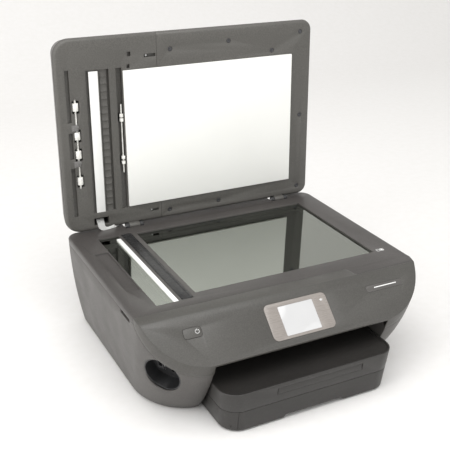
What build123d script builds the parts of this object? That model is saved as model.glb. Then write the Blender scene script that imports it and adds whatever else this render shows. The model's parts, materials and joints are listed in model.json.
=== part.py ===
from build123d import *
import os
from math import cos, radians, sin, tan

# All-in-one inkjet printer: flatbed scanner with a hinged lid and document feeder over a two-cartridge
# print mechanism, with a front paper tray. Millimetres. The origin is under the middle of the whole
# object as it stands with the lid open: +X to the user's right, -Y to the user, +Z up.

os.makedirs("parts", exist_ok=True)

# ---- driving dimensions: body ----
body_width = 454.0            # across the widest line, at the top
body_floor_width = 416.0      # across the sides at the floor
body_top = 156.0              # top face of the scanner bed
body_back = 183.0             # back face
floor_front = -138.5          # front wall at the floor
top_front = -202.8            # front wall carried up to the top plane
front_lean = 0.07             # first-order lean of the front wall, per mm of drop
side_lean = 0.02              # the same for the sides
corner_depth = 85.0           # front corners, measured along Y
corner_x = 137.0              # where the front corners end and the flat front begins
back_radius = 20.0
wall = 2.5                    # moulded case walls
foot_height = 3.0
foot_radius = 9.0
board_top = 25.6              # component side of the main board
foot_inset = 32.0
gap = 0.3                     # between pieces that only meet
moving_gap = 0.5              # between pieces that pass each other
shaft_play = 0.05             # radial running fit

# ---- driving dimensions: control panel ----
panel_angle = 43.0            # slope of the panel face below horizontal
crease_y = -137.0             # line where the top bevel meets the panel face
crease_z = 153.0
seam_y = -117.0               # seam between scanner bed and panel, left of the jog
seam_y_right = -135.0         # the same seam right of the jog
jog_x = 115.5
jog_run = 10.0
band_drop = 25.6              # height of the side band of the panel moulding
skirt_height = 10.0           # skirt of the scanner bed
grip_front = -101.0           # finger grip under the skirt, in the left wall
grip_back = -67.0
grip_height = 6.0
grip_depth = 6.0
touch_x = 4.0                 # middle of the touch panel
touch_s = 38.8                # middle of the touch panel, down the slope from the crease
touch_width = 102.0
touch_height = 54.5
touch_radius = 8.0
screen_x = 3.0
screen_s = 40.0
screen_width = 57.0
screen_height = 43.7
button_x = -158.0
button_s = 24.5
button_width = 27.0
button_height = 15.0
button_radius = 4.0
badge_x = 156.3
badge_s = 24.8
badge_width = 64.0
badge_height = 10.5
badge_radius = 3.0
lens_x = 45.3
lens_s = 22.8
lens_radius = 1.6

# ---- driving dimensions: paper bay and trays ----
bay_half_top = 142.5          # half width of the bay at bay_top
bay_half_floor = 136.0
bay_top = 99.0
bay_floor_edge = -120.0       # front edge of the case floor in the bay
tray_rim_half = 139.5         # half width of the output tray at its rim
tray_floor_half = 134.5       # half width of the tray at the floor
tray_rim_z = 65.0
tray_rim_front = -220.5
tray_floor_front = -214.5
tray_bottom_z = 3.2
tray_seam_z = 35.0            # seam between main tray and output tray
tray_corner = 28.0
tray_back = 75.0
tray_inner_half = 112.0
tray_floor = 2.2
output_back = -46.0
output_recess = 2.5           # the output face below its rim
extender_x = 9.5
extender_width = 139.0
extender_low = 48.5
extender_high = 58.0
notch_low = -47.0             # finger notch in the bottom edge of the tray front
notch_high = 54.0
notch_height = 4.0
tray_front_half = 118.0       # the separate front plate of the main tray
guide_height = 20.0
paper_half = 108.5            # letter paper, half its width and a little

# ---- driving dimensions: scanner bed ----
bezel_plate = 3.0
glass_left = -122.0
glass_right = 185.0
glass_front = -87.0
glass_back = 137.0
glass_thick = 3.0
glass_lap = 5.0
window_left = -186.0
window_right = -152.0
window_front = -99.0
window_back = 141.0
divider_left = -147.0
divider_right = -130.0
divider_front = -98.0
divider_back = 142.0
divider_seat = 2.2
strip_left = -159.0
strip_front = -99.0
strip_back = 129.0
trough_left = -209.0
trough_right = -188.0
trough_front = -46.0
trough_back = 90.0
trough_depth = 3.0
pan_left = -207.0
pan_right = 205.0
pan_front = -112.0
pan_back = 165.0
pan_bottom = 127.0
pan_wall = 2.0
scan_bar_width = 18.0
scan_rest_x = -170.0
lift_y = 174.0                # hinge of the scanner bed
lift_z = 146.0
lift_places = (-150.0, 128.0)
knuckle_radius = 5.0
knuckle_length = 20.0
back_wall_top = 148.5
skirt_back = 168.0            # where the skirt of the bed ends and the rear wall rises

# ---- driving dimensions: lid, in its closed position ----
hinge_y = 171.0
hinge_z = 155.6
open_angle = 92.0
lid_left = -227.0
lid_right = 224.0
lid_front = -141.0
lid_back = 169.0
lid_bottom = 156.7
lid_top = 194.0
lid_wall = 2.5
lid_corner_left = 26.0
lid_corner_right = 17.0
lid_edge = 4.0
lid_draft = 6.5               # how far the lid's sides lean in up to its top
lid_seam = 6.0                # height of the seam between the inner frames and the shell
lid_belt = 8.0                # height of the widest line of the lid
lid_round = 5.0               # rounded lower edge of the inner frames
lid_step = 0.5                # the inner frames stand back this much under the shell
liner_thick = 2.5
frame_depth = 9.0             # depth of the feeder frame in the lid
liner_inset = 3.0             # thickness of the shell where it laps the inner frames
frame_seam = -62.0            # between the feeder frame and the lid liner
pad_left = -119.4
pad_right = 184.0
pad_front = -86.5
pad_back = 136.5
pad_face = 153.4
hinge_left = -112.5
hinge_right = 164.5
hinge_width = 18.0
hinge_radius = 5.0
hinge_pin = 2.5
ear_width = 6.0
barrel_reach = 14.0           # length of the web that joins each hinge barrel to the lid
cover_left = -213.0
cover_right = -75.0
cover_front = -120.0
cover_back = 145.0
cover_thick = 3.0
cover_drop = 9.0
cover_swing = 2.3             # room beside the cover for its edge to swing
cover_barrel = 3.3
document_tray_left = -68.0
document_tray_right = 212.0
document_tray_front = -118.0
document_tray_back = 150.0
document_tray_depth = 9.0
feed_middle = 22.5            # middle of the document path along the lid
document_half = 110.0
roller_x = -198.0
roller_z = 159.8
roller_radius = 4.8
roller_shaft = 1.5
exit_x = -124.0
exit_roller_radius = 3.2

# ---- driving dimensions: print mechanism ----
rod_y = 66.0
rod_z = 92.0
rod_radius = 4.0
rod_half = 206.0
frame_y = 82.0
frame_thick = 2.0
frame_low = 77.0
frame_high = 122.0
print_z = 70.0
carriage_x = 158.0
carriage_width = 92.0
carriage_front = -8.0
carriage_back = 58.0
carriage_low = 73.0
carriage_high = 119.0
belt_y = 75.5
belt_width = 4.0
belt_z = 108.0
belt_thick = 1.2
pulley_radius = 6.0
pulley_x = 188.0
roller_line_y = 66.0
roller_line_z = 62.0
line_roller_radius = 6.0
exit_line_radius = 4.5
gear_module = 1.0
feed_teeth = 48
idler_teeth = 36
exit_teeth = 40
pinion_teeth = 12
gear_x = -188.0
gear_width = 4.0
turn_y = 116.0
turn_z = 40.0
turn_radius = 25.0
chute_gap = 2.5
motor_radius = 13.0
motor_length = 17.0
pick_pivot_y = 52.0
pick_pivot_z = 47.0
pick_reach = 30.0
pick_roller_radius = 8.0

# ---- driving dimensions: card recess in the left front corner ----
recess_middle = (-200.7, -149.4, 78.8)
recess_normal = (-0.737, -0.591, -0.328)
recess_high = 31.5            # half height of the opening
recess_wide = 27.3            # half width of the opening
recess_depth = 24.0
recess_wall = 2.0


# ---- helpers ----
def block(x, y, z):
    """A box from its low and high values along each axis."""
    spans = [(min(pair), max(pair)) for pair in (x, y, z)]
    size = [high - low for low, high in spans]
    middle = [(high + low) / 2 for low, high in spans]
    return Pos(*middle) * Box(*size)


def both(middle, width):
    """Low and high values of a span from its middle and its width."""
    return (middle - width / 2, middle + width / 2)


def rod_x_at(y, z, radius, x):
    return Pos((x[0] + x[1]) / 2, y, z) * Rot(0, 90, 0) * Cylinder(radius, abs(x[1] - x[0]))


def rod_y_at(x, z, radius, y):
    return Pos(x, (y[0] + y[1]) / 2, z) * Rot(90, 0, 0) * Cylinder(radius, abs(y[1] - y[0]))


def rod_z_at(x, y, radius, z):
    return Pos(x, y, (z[0] + z[1]) / 2) * Cylinder(radius, abs(z[1] - z[0]))


def rounded(x, y, z, radius):
    """A box whose upright edges are rounded."""
    plan = Pos((x[0] + x[1]) / 2, (y[0] + y[1]) / 2, z[0]) * RectangleRounded(
        abs(x[1] - x[0]), abs(y[1] - y[0]), radius
    )
    return extrude(plan, z[1] - z[0])


def outline(*points):
    """A face inside a closed run of straight lines."""
    return make_face(Polyline(*points, close=True))


def prism_x(points, x):
    """A prism along X of an outline given as (y, z) points."""
    face = Plane.YZ.offset(x[0]) * outline(*points)
    return extrude(face, x[1] - x[0])


def prism_y(points, y):
    """A prism along Y of an outline given as (x, z) points."""
    face = Plane.XZ.offset(-y[0]) * outline(*points)
    return extrude(face, -(y[1] - y[0]))


def save(shape, name):
    """Write one node, with the solids of a group kept apart."""
    solids = shape.solids()
    whole = solids[0] if len(solids) == 1 else Compound(children=list(solids))
    export_step(whole, f"parts/{name}.step")


# ---- body form ----
def side_at(height):
    """Half width of the body at a height: the sides lean in towards the floor."""
    drop = body_top - height
    depth = body_top - foot_height
    curve = ((body_width - body_floor_width) / 2 - side_lean * depth) / depth**2
    return body_width / 2 - side_lean * drop - curve * drop**2


def front_at(height):
    """Front wall of the body at a height: it leans back towards the floor."""
    drop = body_top - height
    depth = body_top - foot_height
    curve = (floor_front - top_front - front_lean * depth) / depth**2
    return top_front + front_lean * drop + curve * drop**2


def body_wire(height, inset):
    """Plan outline of the body: round back corners, large elliptical front corners."""
    side = side_at(height) - inset
    front = front_at(height) + inset
    back = body_back - inset
    across = side - corner_x
    along = corner_depth - inset
    corner_y = front + along
    turn = back_radius - inset
    edges = [
        Line((-corner_x, front), (corner_x, front)),
        EllipticalCenterArc((corner_x, corner_y), across, along, 270, arc_size=90),
        Line((side, corner_y), (side, back - turn)),
        CenterArc((side - turn, back - turn), turn, 0, 90),
        Line((side - turn, back), (-side + turn, back)),
        CenterArc((-side + turn, back - turn), turn, 90, 90),
        Line((-side, back - turn), (-side, corner_y)),
        EllipticalCenterArc((-corner_x, corner_y), across, along, 180, arc_size=90),
    ]
    return Pos(0, 0, height) * Wire(edges)


def body_solid(low, inset):
    """The body's form from a height up to the top plane."""
    middle = (low + body_top) / 2
    return Solid.make_loft([body_wire(z, inset) for z in (low, middle, body_top)])


panel_plane = Plane(
    origin=(0, crease_y, crease_z),
    x_dir=(1, 0, 0),
    z_dir=(0, -sin(radians(panel_angle)), cos(radians(panel_angle))),
)
far = 600.0                   # longer than the whole object


def on_panel(x, down, shape):
    """Place a shape on the panel face, at a distance down the slope."""
    return panel_plane.location * Pos(x, -down, 0) * shape


def above_panel(shift):
    """Everything outside the panel face moved by a distance along Z."""
    return Pos(0, 0, shift) * panel_plane.location * Pos(0, 0, far / 2) * Box(far * 2, far * 2, far)


def above_bevel(shift):
    """Everything over the top bevel, from the seam to the crease."""
    rise = (body_top - crease_z) / (seam_y - crease_y)
    start = crease_y - far / 4
    points = [
        (start, crease_z + shift - rise * far / 4),
        (seam_y, body_top + shift),
        (seam_y, body_top + far / 4),
        (start, body_top + far / 4),
    ]
    return prism_x(points, (-far / 2, far / 2))


def front_zone(back_off):
    """Everything in front of the seam between scanner bed and panel, which steps forward on the right."""
    left_line = seam_y + back_off
    right_line = seam_y_right + back_off
    turn = jog_run / 3
    plan = outline(
        (-far / 2, -far),
        (-far / 2, left_line),
        (jog_x - jog_run / 2, left_line),
        (jog_x - jog_run / 2 + turn, left_line - turn),
        (jog_x + jog_run / 2 - turn, right_line + turn),
        (jog_x + jog_run / 2, right_line),
        (far / 2, right_line),
        (far / 2, -far),
    )
    return extrude(plan, far)


outer = body_solid(foot_height, 0)
inner = body_solid(foot_height + wall, wall)
skirt_z = body_top - skirt_height
lip_z = crease_z - (crease_y - front_at(crease_z - 50)) * tan(radians(panel_angle))


def bay_prism(grow, y):
    """The paper bay's space, narrower at the floor."""
    slope = (bay_half_top - bay_half_floor) / (bay_top - foot_height)
    low = bay_half_floor + grow - slope * foot_height
    points = [(-low, 0), (low, 0), (bay_half_top + grow, bay_top), (-bay_half_top - grow, bay_top)]
    return prism_y(points, y)


# ---- lower case ----
def make_lower_case():
    shell = outer - inner
    shell -= block((-far / 2, far / 2), (seam_y, skirt_back + 1.0), (skirt_z - gap, far))
    shell -= block((-far / 2, far / 2), (skirt_back, far), (back_wall_top, far))
    shell -= above_panel(-band_drop - gap)
    shell -= front_zone(0) & block((-far, far), (-far, far), (skirt_z - gap, far))
    walls = bay_prism(wall, (-far / 2, tray_back + 12)) - bay_prism(0, (-far, far))
    walls -= block((-far, far), (output_back - 14, far), (tray_seam_z + 3, far))
    walls = (walls & outer) - above_panel(-band_drop - gap)
    walls -= block((-far, far), (-far, far), (0, foot_height + 0.5))
    shell += walls
    shell -= bay_prism(0, (-far, bay_floor_edge)) - block((-far, far), (-far, far), (bay_top, far))
    shell -= block((-bay_half_top + 1, bay_half_top - 1), (-far, bay_floor_edge), (0, far))
    shell -= recess_cut(far / 10)
    shell -= inlet_hole()
    shell -= ports_hole()
    for x in lift_places:
        ear = block(both(x, knuckle_length + 12), (lift_y - 7, body_back - wall / 2),
                    (lift_z - 8, back_wall_top))
        ear -= block(both(x, knuckle_length + 2 * gap), (lift_y - far, lift_y + 6.0),
                     (lift_z - far, lift_z + far))
        ear -= rod_x_at(lift_y, lift_z, hinge_pin + shaft_play, both(x, far))
        shell += ear
    top = skirt_z - gap
    grip_inner = -body_width / 2 + grip_depth
    grip_span = (grip_front, grip_back)
    shell += outer & block((-far, grip_inner + wall), (grip_front - wall, grip_back + wall),
                           (top - grip_height - wall, top))
    shell -= block((-far, grip_inner), grip_span, (top - grip_height, far))
    return shell


# ---- card recess ----
recess_plane = Plane(origin=recess_middle, x_dir=(-0.625, 0.78, 0), z_dir=recess_normal)


def recess_cut(depth):
    """The oval opening, cut square to the wall."""
    face = Ellipse(recess_wide, recess_high)
    cut = extrude(face, depth) + extrude(face, -depth)
    return recess_plane.location * cut


def make_card_reader():
    """A cup behind the oval opening, with a card slot, a data socket and their bezels."""
    cup = extrude(Ellipse(recess_wide, recess_high), -recess_depth)
    cup -= extrude(Ellipse(recess_wide - recess_wall, recess_high - recess_wall), -recess_depth + 3)
    for x, width in ((-12.0, 5.0), (-3.0, 3.0)):
        cup -= Pos(x, 6, -recess_depth + 2) * Box(width, 26, 6)
    block_rib = Pos(10, -4, -recess_depth + 6) * Box(10, 22, 8)
    cup += block_rib - Pos(10, -4, -recess_depth + 9) * Box(5, 13, 8)
    cup = Pos(0, 0, -1.0) * cup
    return recess_plane.location * cup - above_panel(-band_drop - 1.0)


# ---- rear sockets ----
def inlet_hole():
    return block(both(-160, 26), (body_back - 12, far), both(32, 20))


def ports_hole():
    holes = block(both(150, 15), (body_back - 12, far), (board_top - gap, board_top + 15))
    holes += block(both(172, 13), (body_back - 12, far), (board_top - gap, board_top + 14.5))
    return holes


def make_power_supply():
    low = foot_height + wall
    box = block((-200, -128), (100, 170), (low, low + 50))
    box -= block((-198, -130), (102, 168), (low + 2, low + 48))
    socket = block(both(-160, 26 - 2 * gap), (170, body_back - 1), both(32, 20 - 2 * gap))
    socket -= block(both(-160, 20), (173, far), both(32, 14))
    for x in (-165, -155):
        socket += rod_y_at(x, 32, 1.2, (172, 180))
    return Compound(children=[*box.solids(), *socket.solids()])


def make_main_board():
    board = block((128, 190), (98, 174), (board_top - 1.6, board_top))
    for x in (132, 186):
        for y in (104, 162):
            board += rod_z_at(x, y, 3, (foot_height + wall, board_top - 1.6))
    jack = block(both(150, 15 - 2 * gap), (165, body_back - 1), (board_top, board_top + 15 - gap))
    jack -= block(both(150, 11), (170, far), both(34, 9))
    usb = block(both(172, 13 - 2 * gap), (165, body_back - 1), (board_top, board_top + 14.5 - gap))
    usb -= block(both(172, 9), (170, far), both(34, 8))
    chips = [block(both(150, 16), both(120, 16), (board_top, board_top + 2)),
             block(both(178, 10), both(110, 14), (board_top, board_top + 1.6))]
    coil = rod_z_at(182, 140, 5, (board_top, board_top + 12))
    return Compound(children=[*board.solids(), *jack.solids(), *usb.solids(), *coil.solids(),
                              *[s for c in chips for s in c.solids()]])


# ---- control panel ----
def make_control_panel():
    zone = front_zone(-gap)
    form = (outer & zone) - above_panel(0) - above_bevel(0)
    hollow_form = inner - above_panel(-wall / cos(radians(panel_angle)))
    hollow_form -= above_bevel(-wall)
    lower = block((-far / 2, far / 2), (-far, far), (0, far)) - above_panel(-band_drop)
    panel = form - lower - hollow_form
    bay = block((-bay_half_top + 2, bay_half_top - 2), (-far, far), (0, lip_z - wall))
    panel -= bay
    soffit = block((-bay_half_top + 2, bay_half_top - 2), (-far, -158), (lip_z - wall, lip_z))
    panel += (soffit & outer) - above_panel(-1.0)
    touch_hole = extrude(RectangleRounded(touch_width, touch_height, touch_radius), -far / 20)
    panel -= on_panel(touch_x, touch_s, touch_hole)
    panel -= on_panel(button_x, button_s,
                      extrude(RectangleRounded(button_width, button_height, button_radius), 10, both=True))
    panel -= on_panel(badge_x, badge_s,
                      extrude(RectangleRounded(badge_width, badge_height, badge_radius), -0.8))
    return panel


def panel_tile(x, down, width, height, radius, low, high, clear):
    """A rounded tile parallel to the panel face, between two depths."""
    face = RectangleRounded(width - 2 * clear, height - 2 * clear, radius - clear)
    return on_panel(x, down, Pos(0, 0, low) * extrude(face, high - low))


def make_power_button():
    cap = panel_tile(button_x, button_s, button_width, button_height, button_radius, -3.0, 0.5, gap)
    flange = panel_tile(button_x, button_s, button_width + 5, button_height + 5, button_radius + 2,
                        -5.0, -2.8, 0)
    return cap + flange


def make_touch_bezel():
    plate = panel_tile(touch_x, touch_s, touch_width, touch_height, touch_radius, -3.0, 0.4, gap)
    flange = panel_tile(touch_x, touch_s, touch_width + 6, touch_height + 6, touch_radius + 3,
                        -wall - 2.0, -wall, 0)
    plate += flange
    plate -= panel_tile(screen_x, screen_s, screen_width, screen_height, 1.5, -1.8, 2.0, 0)
    plate -= on_panel(lens_x, lens_s, Pos(0, 0, -1) * Cylinder(lens_radius, 4))
    return plate


def make_touch_screen():
    screen = panel_tile(screen_x, screen_s, screen_width, screen_height, 1.5, -1.8, 0.2, 0.1)
    lens = on_panel(lens_x, lens_s, Pos(0, 0, -1.35) * Cylinder(lens_radius, 3.2))
    return Compound(children=[*screen.solids(), *lens.solids()])


def make_badge():
    return panel_tile(badge_x, badge_s, badge_width, badge_height, badge_radius, -0.8, 0.0, 0.2)


# ---- paper trays ----
def tray_half_at(z):
    share = (z - foot_height) / (tray_rim_z - foot_height)
    return tray_floor_half + (tray_rim_half - tray_floor_half) * share


def tray_front_at(z):
    lean = (tray_rim_front - tray_floor_front) / (tray_rim_z - foot_height)
    return tray_floor_front + lean * (z - foot_height)


def tray_wire(z, inset, back):
    """Plan outline of the trays at a height: round front corners."""
    half = tray_half_at(z) - inset
    front = tray_front_at(z) + inset
    turn = tray_corner - inset
    edges = [
        Line((-half + turn, front), (half - turn, front)),
        CenterArc((half - turn, front + turn), turn, 270, 90),
        Line((half, front + turn), (half, back)),
        Line((half, back), (-half, back)),
        Line((-half, back), (-half, front + turn)),
        CenterArc((-half + turn, front + turn), turn, 180, 90),
    ]
    return Pos(0, 0, z) * Wire(edges)


def tray_form(low, high, inset, back):
    return Solid.make_loft([tray_wire(z, inset, back) for z in (low, high)], True)


tray_plate_z = foot_height + wall + gap
tray_front_gap = 2.0
front_plate_depth = 3.0


def make_main_tray():
    apron = tray_form(tray_bottom_z, tray_seam_z, 0, bay_floor_edge - tray_front_gap)
    body = block((-tray_floor_half + 2, tray_floor_half - 2), (bay_floor_edge - 20, tray_back),
                 (tray_plate_z, tray_seam_z - 5))
    tray = apron + body
    top = tray_plate_z + tray_floor
    across = both(0, 2 * tray_inner_half + 28)
    tray -= block(across, (tray_front_inner(), tray_back - 2), (top, far))
    tray -= block(across, (tray_back - 10, far), (top + 6, far))
    front = tray_front_form(0)
    tray -= front
    tray -= notch_prism()
    return tray


def tray_front_inner():
    """Inner face of the main tray's front wall."""
    return tray_floor_front + front_plate_depth + 3.5


def notch_prism():
    top = tray_bottom_z + notch_height
    points = [(notch_low, tray_bottom_z - 1), (notch_high, tray_bottom_z - 1),
              (notch_high - notch_height, top), (notch_low + notch_height, top)]
    return prism_y(points, (-far, tray_front_inner() + 3))


def tray_front_form(shrink):
    """The front plate of the main tray, let into its apron."""
    plate = tray_form(tray_bottom_z, tray_seam_z, 0, 0)
    half = tray_front_half - shrink
    lean = (tray_front_at(tray_seam_z) - tray_front_at(tray_bottom_z))
    low_back = tray_front_at(tray_bottom_z) + front_plate_depth - shrink
    points = [(-far, tray_bottom_z - 1), (low_back, tray_bottom_z - 1), (low_back + lean, tray_seam_z + 1),
              (-far, tray_seam_z + 1)]
    return plate & prism_x(points, (-half, half))


def make_tray_front():
    return tray_front_form(gap) - notch_prism()


def make_output_tray():
    """The cover over the main tray, whose recessed top receives the prints."""
    low = tray_seam_z + gap
    form = tray_form(low, tray_rim_z, 0, output_back)
    hollow = tray_form(low - 1, tray_rim_z - output_recess - 3.0, 3.0, output_back + far / 10)
    dish = tray_form(tray_rim_z - output_recess, tray_rim_z + 1, 3.0, output_back + far / 10)
    tray = form - hollow - dish
    slot = block(both(extender_x, extender_width + 2 * moving_gap), (-far, tray_rim_front + 12),
                 (extender_low - moving_gap, extender_high + moving_gap))
    tray -= slot
    for side in (-1, 1):
        rail = block(both(extender_x + side * (extender_width / 2 - 14 + 5.2), 3), (-200, output_back),
                     (extender_low + 1, tray_rim_z - output_recess - 2.8))
        tray += rail
    return tray


def make_extender():
    """Pull-out arm: a finger bar at the front of a flat plate."""
    front = tray_front_at((extender_low + extender_high) / 2) + 0.3
    bar = rounded(both(extender_x, extender_width), (front, front + 7), (extender_low, extender_high), 1.5)
    plate = block(both(extender_x, extender_width - 28), (front + 5, output_back - 20),
                  (extender_low + 2.5, extender_low + 5.5))
    return bar + plate


def make_width_guide(side):
    """Upright paper fence on a flat foot."""
    low = tray_plate_z + tray_floor + gap
    face = side * paper_half
    fence = block((face, face + side * 2), (-60, 40), (low, low + guide_height))
    foot = block((face - side * 16, face + side * 2), (-40, 10), (low, low + 1.2))
    web = block((face + side * 2, face + side * 8), (-20, -18), (low, low + guide_height - 4))
    return fence + foot + web


def make_length_guide():
    low = tray_plate_z + tray_floor + gap
    start = tray_front_inner() + moving_gap
    fence = block((-22, 22), (start, start + 2.5), (low, low + guide_height))
    foot = block((-12, 12), (start, start + 30), (low, low + 1.5))
    return fence + foot


# ---- print mechanism ----
def gear(teeth, width, bore):
    """A spur gear about Z with straight-sided teeth, narrow enough to run free."""
    pitch = gear_module * teeth / 2
    tip = pitch + 0.85 * gear_module
    root = pitch - 1.15 * gear_module
    step = 360 / teeth
    thick_root = step * 0.56
    thick_tip = step * 0.20
    body = Cylinder(root, width)
    tooth_points = []
    for radius, spread in ((root - 0.2, thick_root), (tip, thick_tip)):
        half = radians(spread / 2)
        tooth_points.append((radius * cos(half), radius * sin(half)))
    (x0, y0), (x1, y1) = tooth_points
    tooth = Pos(0, 0, -width / 2) * extrude(outline((x0, -y0), (x1, -y1), (x1, y1), (x0, y0)), width)
    for index in range(teeth):
        body += Rot(0, 0, index * step) * tooth
    return body - Cylinder(bore, width * 2)


def gear_on_x(teeth, bore, y, z, turn):
    """Turn a gear onto the X axis, with its first tooth at an angle from +Y towards +Z."""
    return Pos(gear_x, y, z) * Rot(turn, 0, 0) * Rot(0, 90, 0) * Rot(0, 0, 90) * gear(teeth, gear_width, bore)


exit_line_z = roller_line_z
idler_y = roller_line_y - gear_module * (feed_teeth + idler_teeth) / 2
exit_line_y = idler_y - gear_module * (idler_teeth + exit_teeth) / 2
pinion_angle = -60.0
pinion_reach = gear_module * (feed_teeth + pinion_teeth) / 2
pinion_y = roller_line_y + pinion_reach * cos(radians(pinion_angle))
pinion_z = roller_line_z + pinion_reach * sin(radians(pinion_angle))
shaft_end = gear_x - gear_width / 2 - 2
side_plate_x = gear_x + 10


def make_feed_roller():
    roller = rod_x_at(roller_line_y, roller_line_z, line_roller_radius, (side_plate_x + 6, 122))
    shaft = rod_x_at(roller_line_y, roller_line_z, 3.0, (shaft_end, 178))
    wheel = gear_on_x(feed_teeth, 3.0, roller_line_y, roller_line_z, 180)
    return Compound(children=[*(roller + shaft).solids(), *wheel.solids()])


def make_exit_roller():
    shaft = rod_x_at(exit_line_y, exit_line_z, 2.5, (shaft_end, 178))
    tyres = [rod_x_at(exit_line_y, exit_line_z, exit_line_radius, both(x, 14)) - rod_x_at(
        exit_line_y, exit_line_z, 2.5, both(x, 20)) for x in (-84, -28, 28, 84)]
    wheel = gear_on_x(exit_teeth, 2.5, exit_line_y, exit_line_z, 0)
    return Compound(children=[*shaft.solids(), *wheel.solids(), *[s for t in tyres for s in t.solids()]])


def make_idler_gear():
    return gear_on_x(idler_teeth, 3.0 + shaft_play, idler_y, roller_line_z, 180 / idler_teeth)


def make_pinion():
    step = 360 / pinion_teeth
    feed_step = 360 / feed_teeth
    # the feed gear shows a tooth at pinion_angle when that angle is a whole number of its steps from 180
    offset = ((pinion_angle - 180) / feed_step) % 1
    turn = pinion_angle + 180 + step / 2 + offset * step
    wheel = gear_on_x(pinion_teeth, 1.0, pinion_y, pinion_z, turn)
    shaft = rod_x_at(pinion_y, pinion_z, 1.0, (gear_x - gear_width / 2 - 1, side_plate_x + 4))
    return wheel + shaft


def make_mechanism_frame():
    """Folded steel back plate with two side plates that carry the rod and the shafts."""
    plate = block((-rod_half - 2, rod_half + 2), (frame_y, frame_y + frame_thick), (frame_low, frame_high))
    for x in (-rod_half - 2, rod_half):
        plate += block((x, x + 2), (rod_y - 10, frame_y + frame_thick), (rod_z - 9, frame_high))
    plate -= rod_x_at(rod_y, rod_z, rod_radius, (-far, far))
    plate -= block((-pulley_x + 20, -pulley_x + 60), (0, far), (frame_low + 10, frame_low + 25))
    for x in (-pulley_x, pulley_x):
        plate -= rod_y_at(x, belt_z, 1.5 + shaft_play, (0, far))
    reach = gear_module * feed_teeth / 2 + 3
    plate -= block(both(gear_x, gear_width + 6), (0, far), (frame_low - 1, roller_line_z + reach))
    stand = []
    for x in (side_plate_x, 170):
        leg = block((x, x + 2), (exit_line_y - 10, 92), (40, 69))
        leg -= rod_x_at(roller_line_y, roller_line_z, 3.0 + shaft_play, (x - 5, x + 5))
        leg -= rod_x_at(exit_line_y, exit_line_z, 2.5 + shaft_play, (x - 5, x + 5))
        leg += block((x, x + 2), (frame_y, 92), (60, frame_high - 5)) - block(
            (x - 1, x + 3), (0, frame_y + frame_thick), (frame_low, far))
        leg += block((x, x + 2), (76, 92), (foot_height + wall, 42))
        if x < 0:
            leg -= rod_x_at(pinion_y, pinion_z, 1.0 + moving_gap, (x - 5, x + 5))
        stand += leg.solids()
    whole = plate
    for leg in stand:
        whole += leg
    whole += rod_x_at(idler_y, roller_line_z, 3.0, (gear_x - gear_width / 2 - 1, side_plate_x + 1))
    return whole


def make_carriage():
    """Open-topped cradle for two cartridges, with a bearing on the rod and a clamp on the belt."""
    x = both(carriage_x, carriage_width)
    cradle = block(x, (carriage_front, carriage_back), (carriage_low, carriage_high))
    pocket = (carriage_width - 8) / 2 - 2
    for side in (-1, 1):
        middle = carriage_x + side * (pocket / 2 + 1)
        cradle -= block(both(middle, pocket), (carriage_front + 3, carriage_back - 3),
                        (carriage_low + 3, far))
    bearing = block(x, (carriage_back - 1, rod_y + 7), (rod_z - 7, rod_z + 7))
    clamp = block(both(carriage_x, 22), (rod_y + 2, belt_y + belt_width / 2 + 2),
                  (rod_z + 5, belt_z - pulley_radius + 3))
    run = belt_z - pulley_radius
    neck = block(both(carriage_x, 22), (carriage_back - 1, rod_y + 6), (rod_z + 4, run + 3))
    carriage = cradle + bearing + clamp + neck
    carriage -= block(both(carriage_x, far), both(belt_y, belt_width + 2 * moving_gap),
                      (run - belt_thick - moving_gap, run + moving_gap))
    carriage -= rod_x_at(rod_y, rod_z, rod_radius + shaft_play, (-far, far))
    return carriage


def make_cartridge(side):
    """One ink cartridge, with its print head under it."""
    pocket = (carriage_width - 8) / 2 - 2
    middle = carriage_x + side * (pocket / 2 + 1)
    body = rounded(both(middle, pocket - 2 * gap), (carriage_front + 3 + gap, carriage_back - 3 - gap),
                   (carriage_low + 3, carriage_high + 2), 2.0)
    body -= block(both(middle, pocket - 10), (carriage_front - 1, carriage_front + 8),
                  (carriage_high - 14, far))
    return body


def belt_loop(thick):
    """A flat slot-shaped loop in the plane of the two pulleys."""
    face = SlotCenterToCenter(2 * pulley_x, 2 * (pulley_radius + thick))
    return Plane.XZ.offset(-(belt_y - belt_width / 2)) * Pos(0, belt_z) * face


def make_belt():
    outer_loop = extrude(belt_loop(belt_thick), -belt_width)
    inner_loop = extrude(belt_loop(0.1), -belt_width)
    return outer_loop - inner_loop


def make_pulley(x):
    wheel = rod_y_at(x, belt_z, pulley_radius, both(belt_y, belt_width + 0.4))
    front = belt_y - belt_width / 2
    wheel += rod_y_at(x, belt_z, pulley_radius + 1.8, (front - 1.2, front - 0.3))
    shaft = rod_y_at(x, belt_z, 1.5, (front - 1, frame_y + 6))
    flat = block(both(x, 3), both(front - 1.4, 0.8), both(belt_z + 4, 2))
    return wheel + shaft - flat


def make_motors():
    carriage_motor = rod_y_at(pulley_x, belt_z, motor_radius, (frame_y + frame_thick, frame_y + 22))
    carriage_motor -= rod_y_at(pulley_x, belt_z, 1.5 + shaft_play, (frame_y, frame_y + 8))
    face = side_plate_x + 2
    feed_motor = rod_x_at(pinion_y, pinion_z, motor_radius, (face, face + motor_length))
    feed_motor -= rod_x_at(pinion_y, pinion_z, 1.0 + shaft_play, (face, face + 4))
    return Compound(children=[*carriage_motor.solids(), *feed_motor.solids()])


def make_encoder():
    strip = block((-rod_half, rod_half), (frame_y - 2.2, frame_y - 1.9), (116, 120))
    for side in (-1, 1):
        strip += block((side * (rod_half - 3), side * rod_half), (frame_y - 2.2, frame_y), (116, 120))
    return strip


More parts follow.
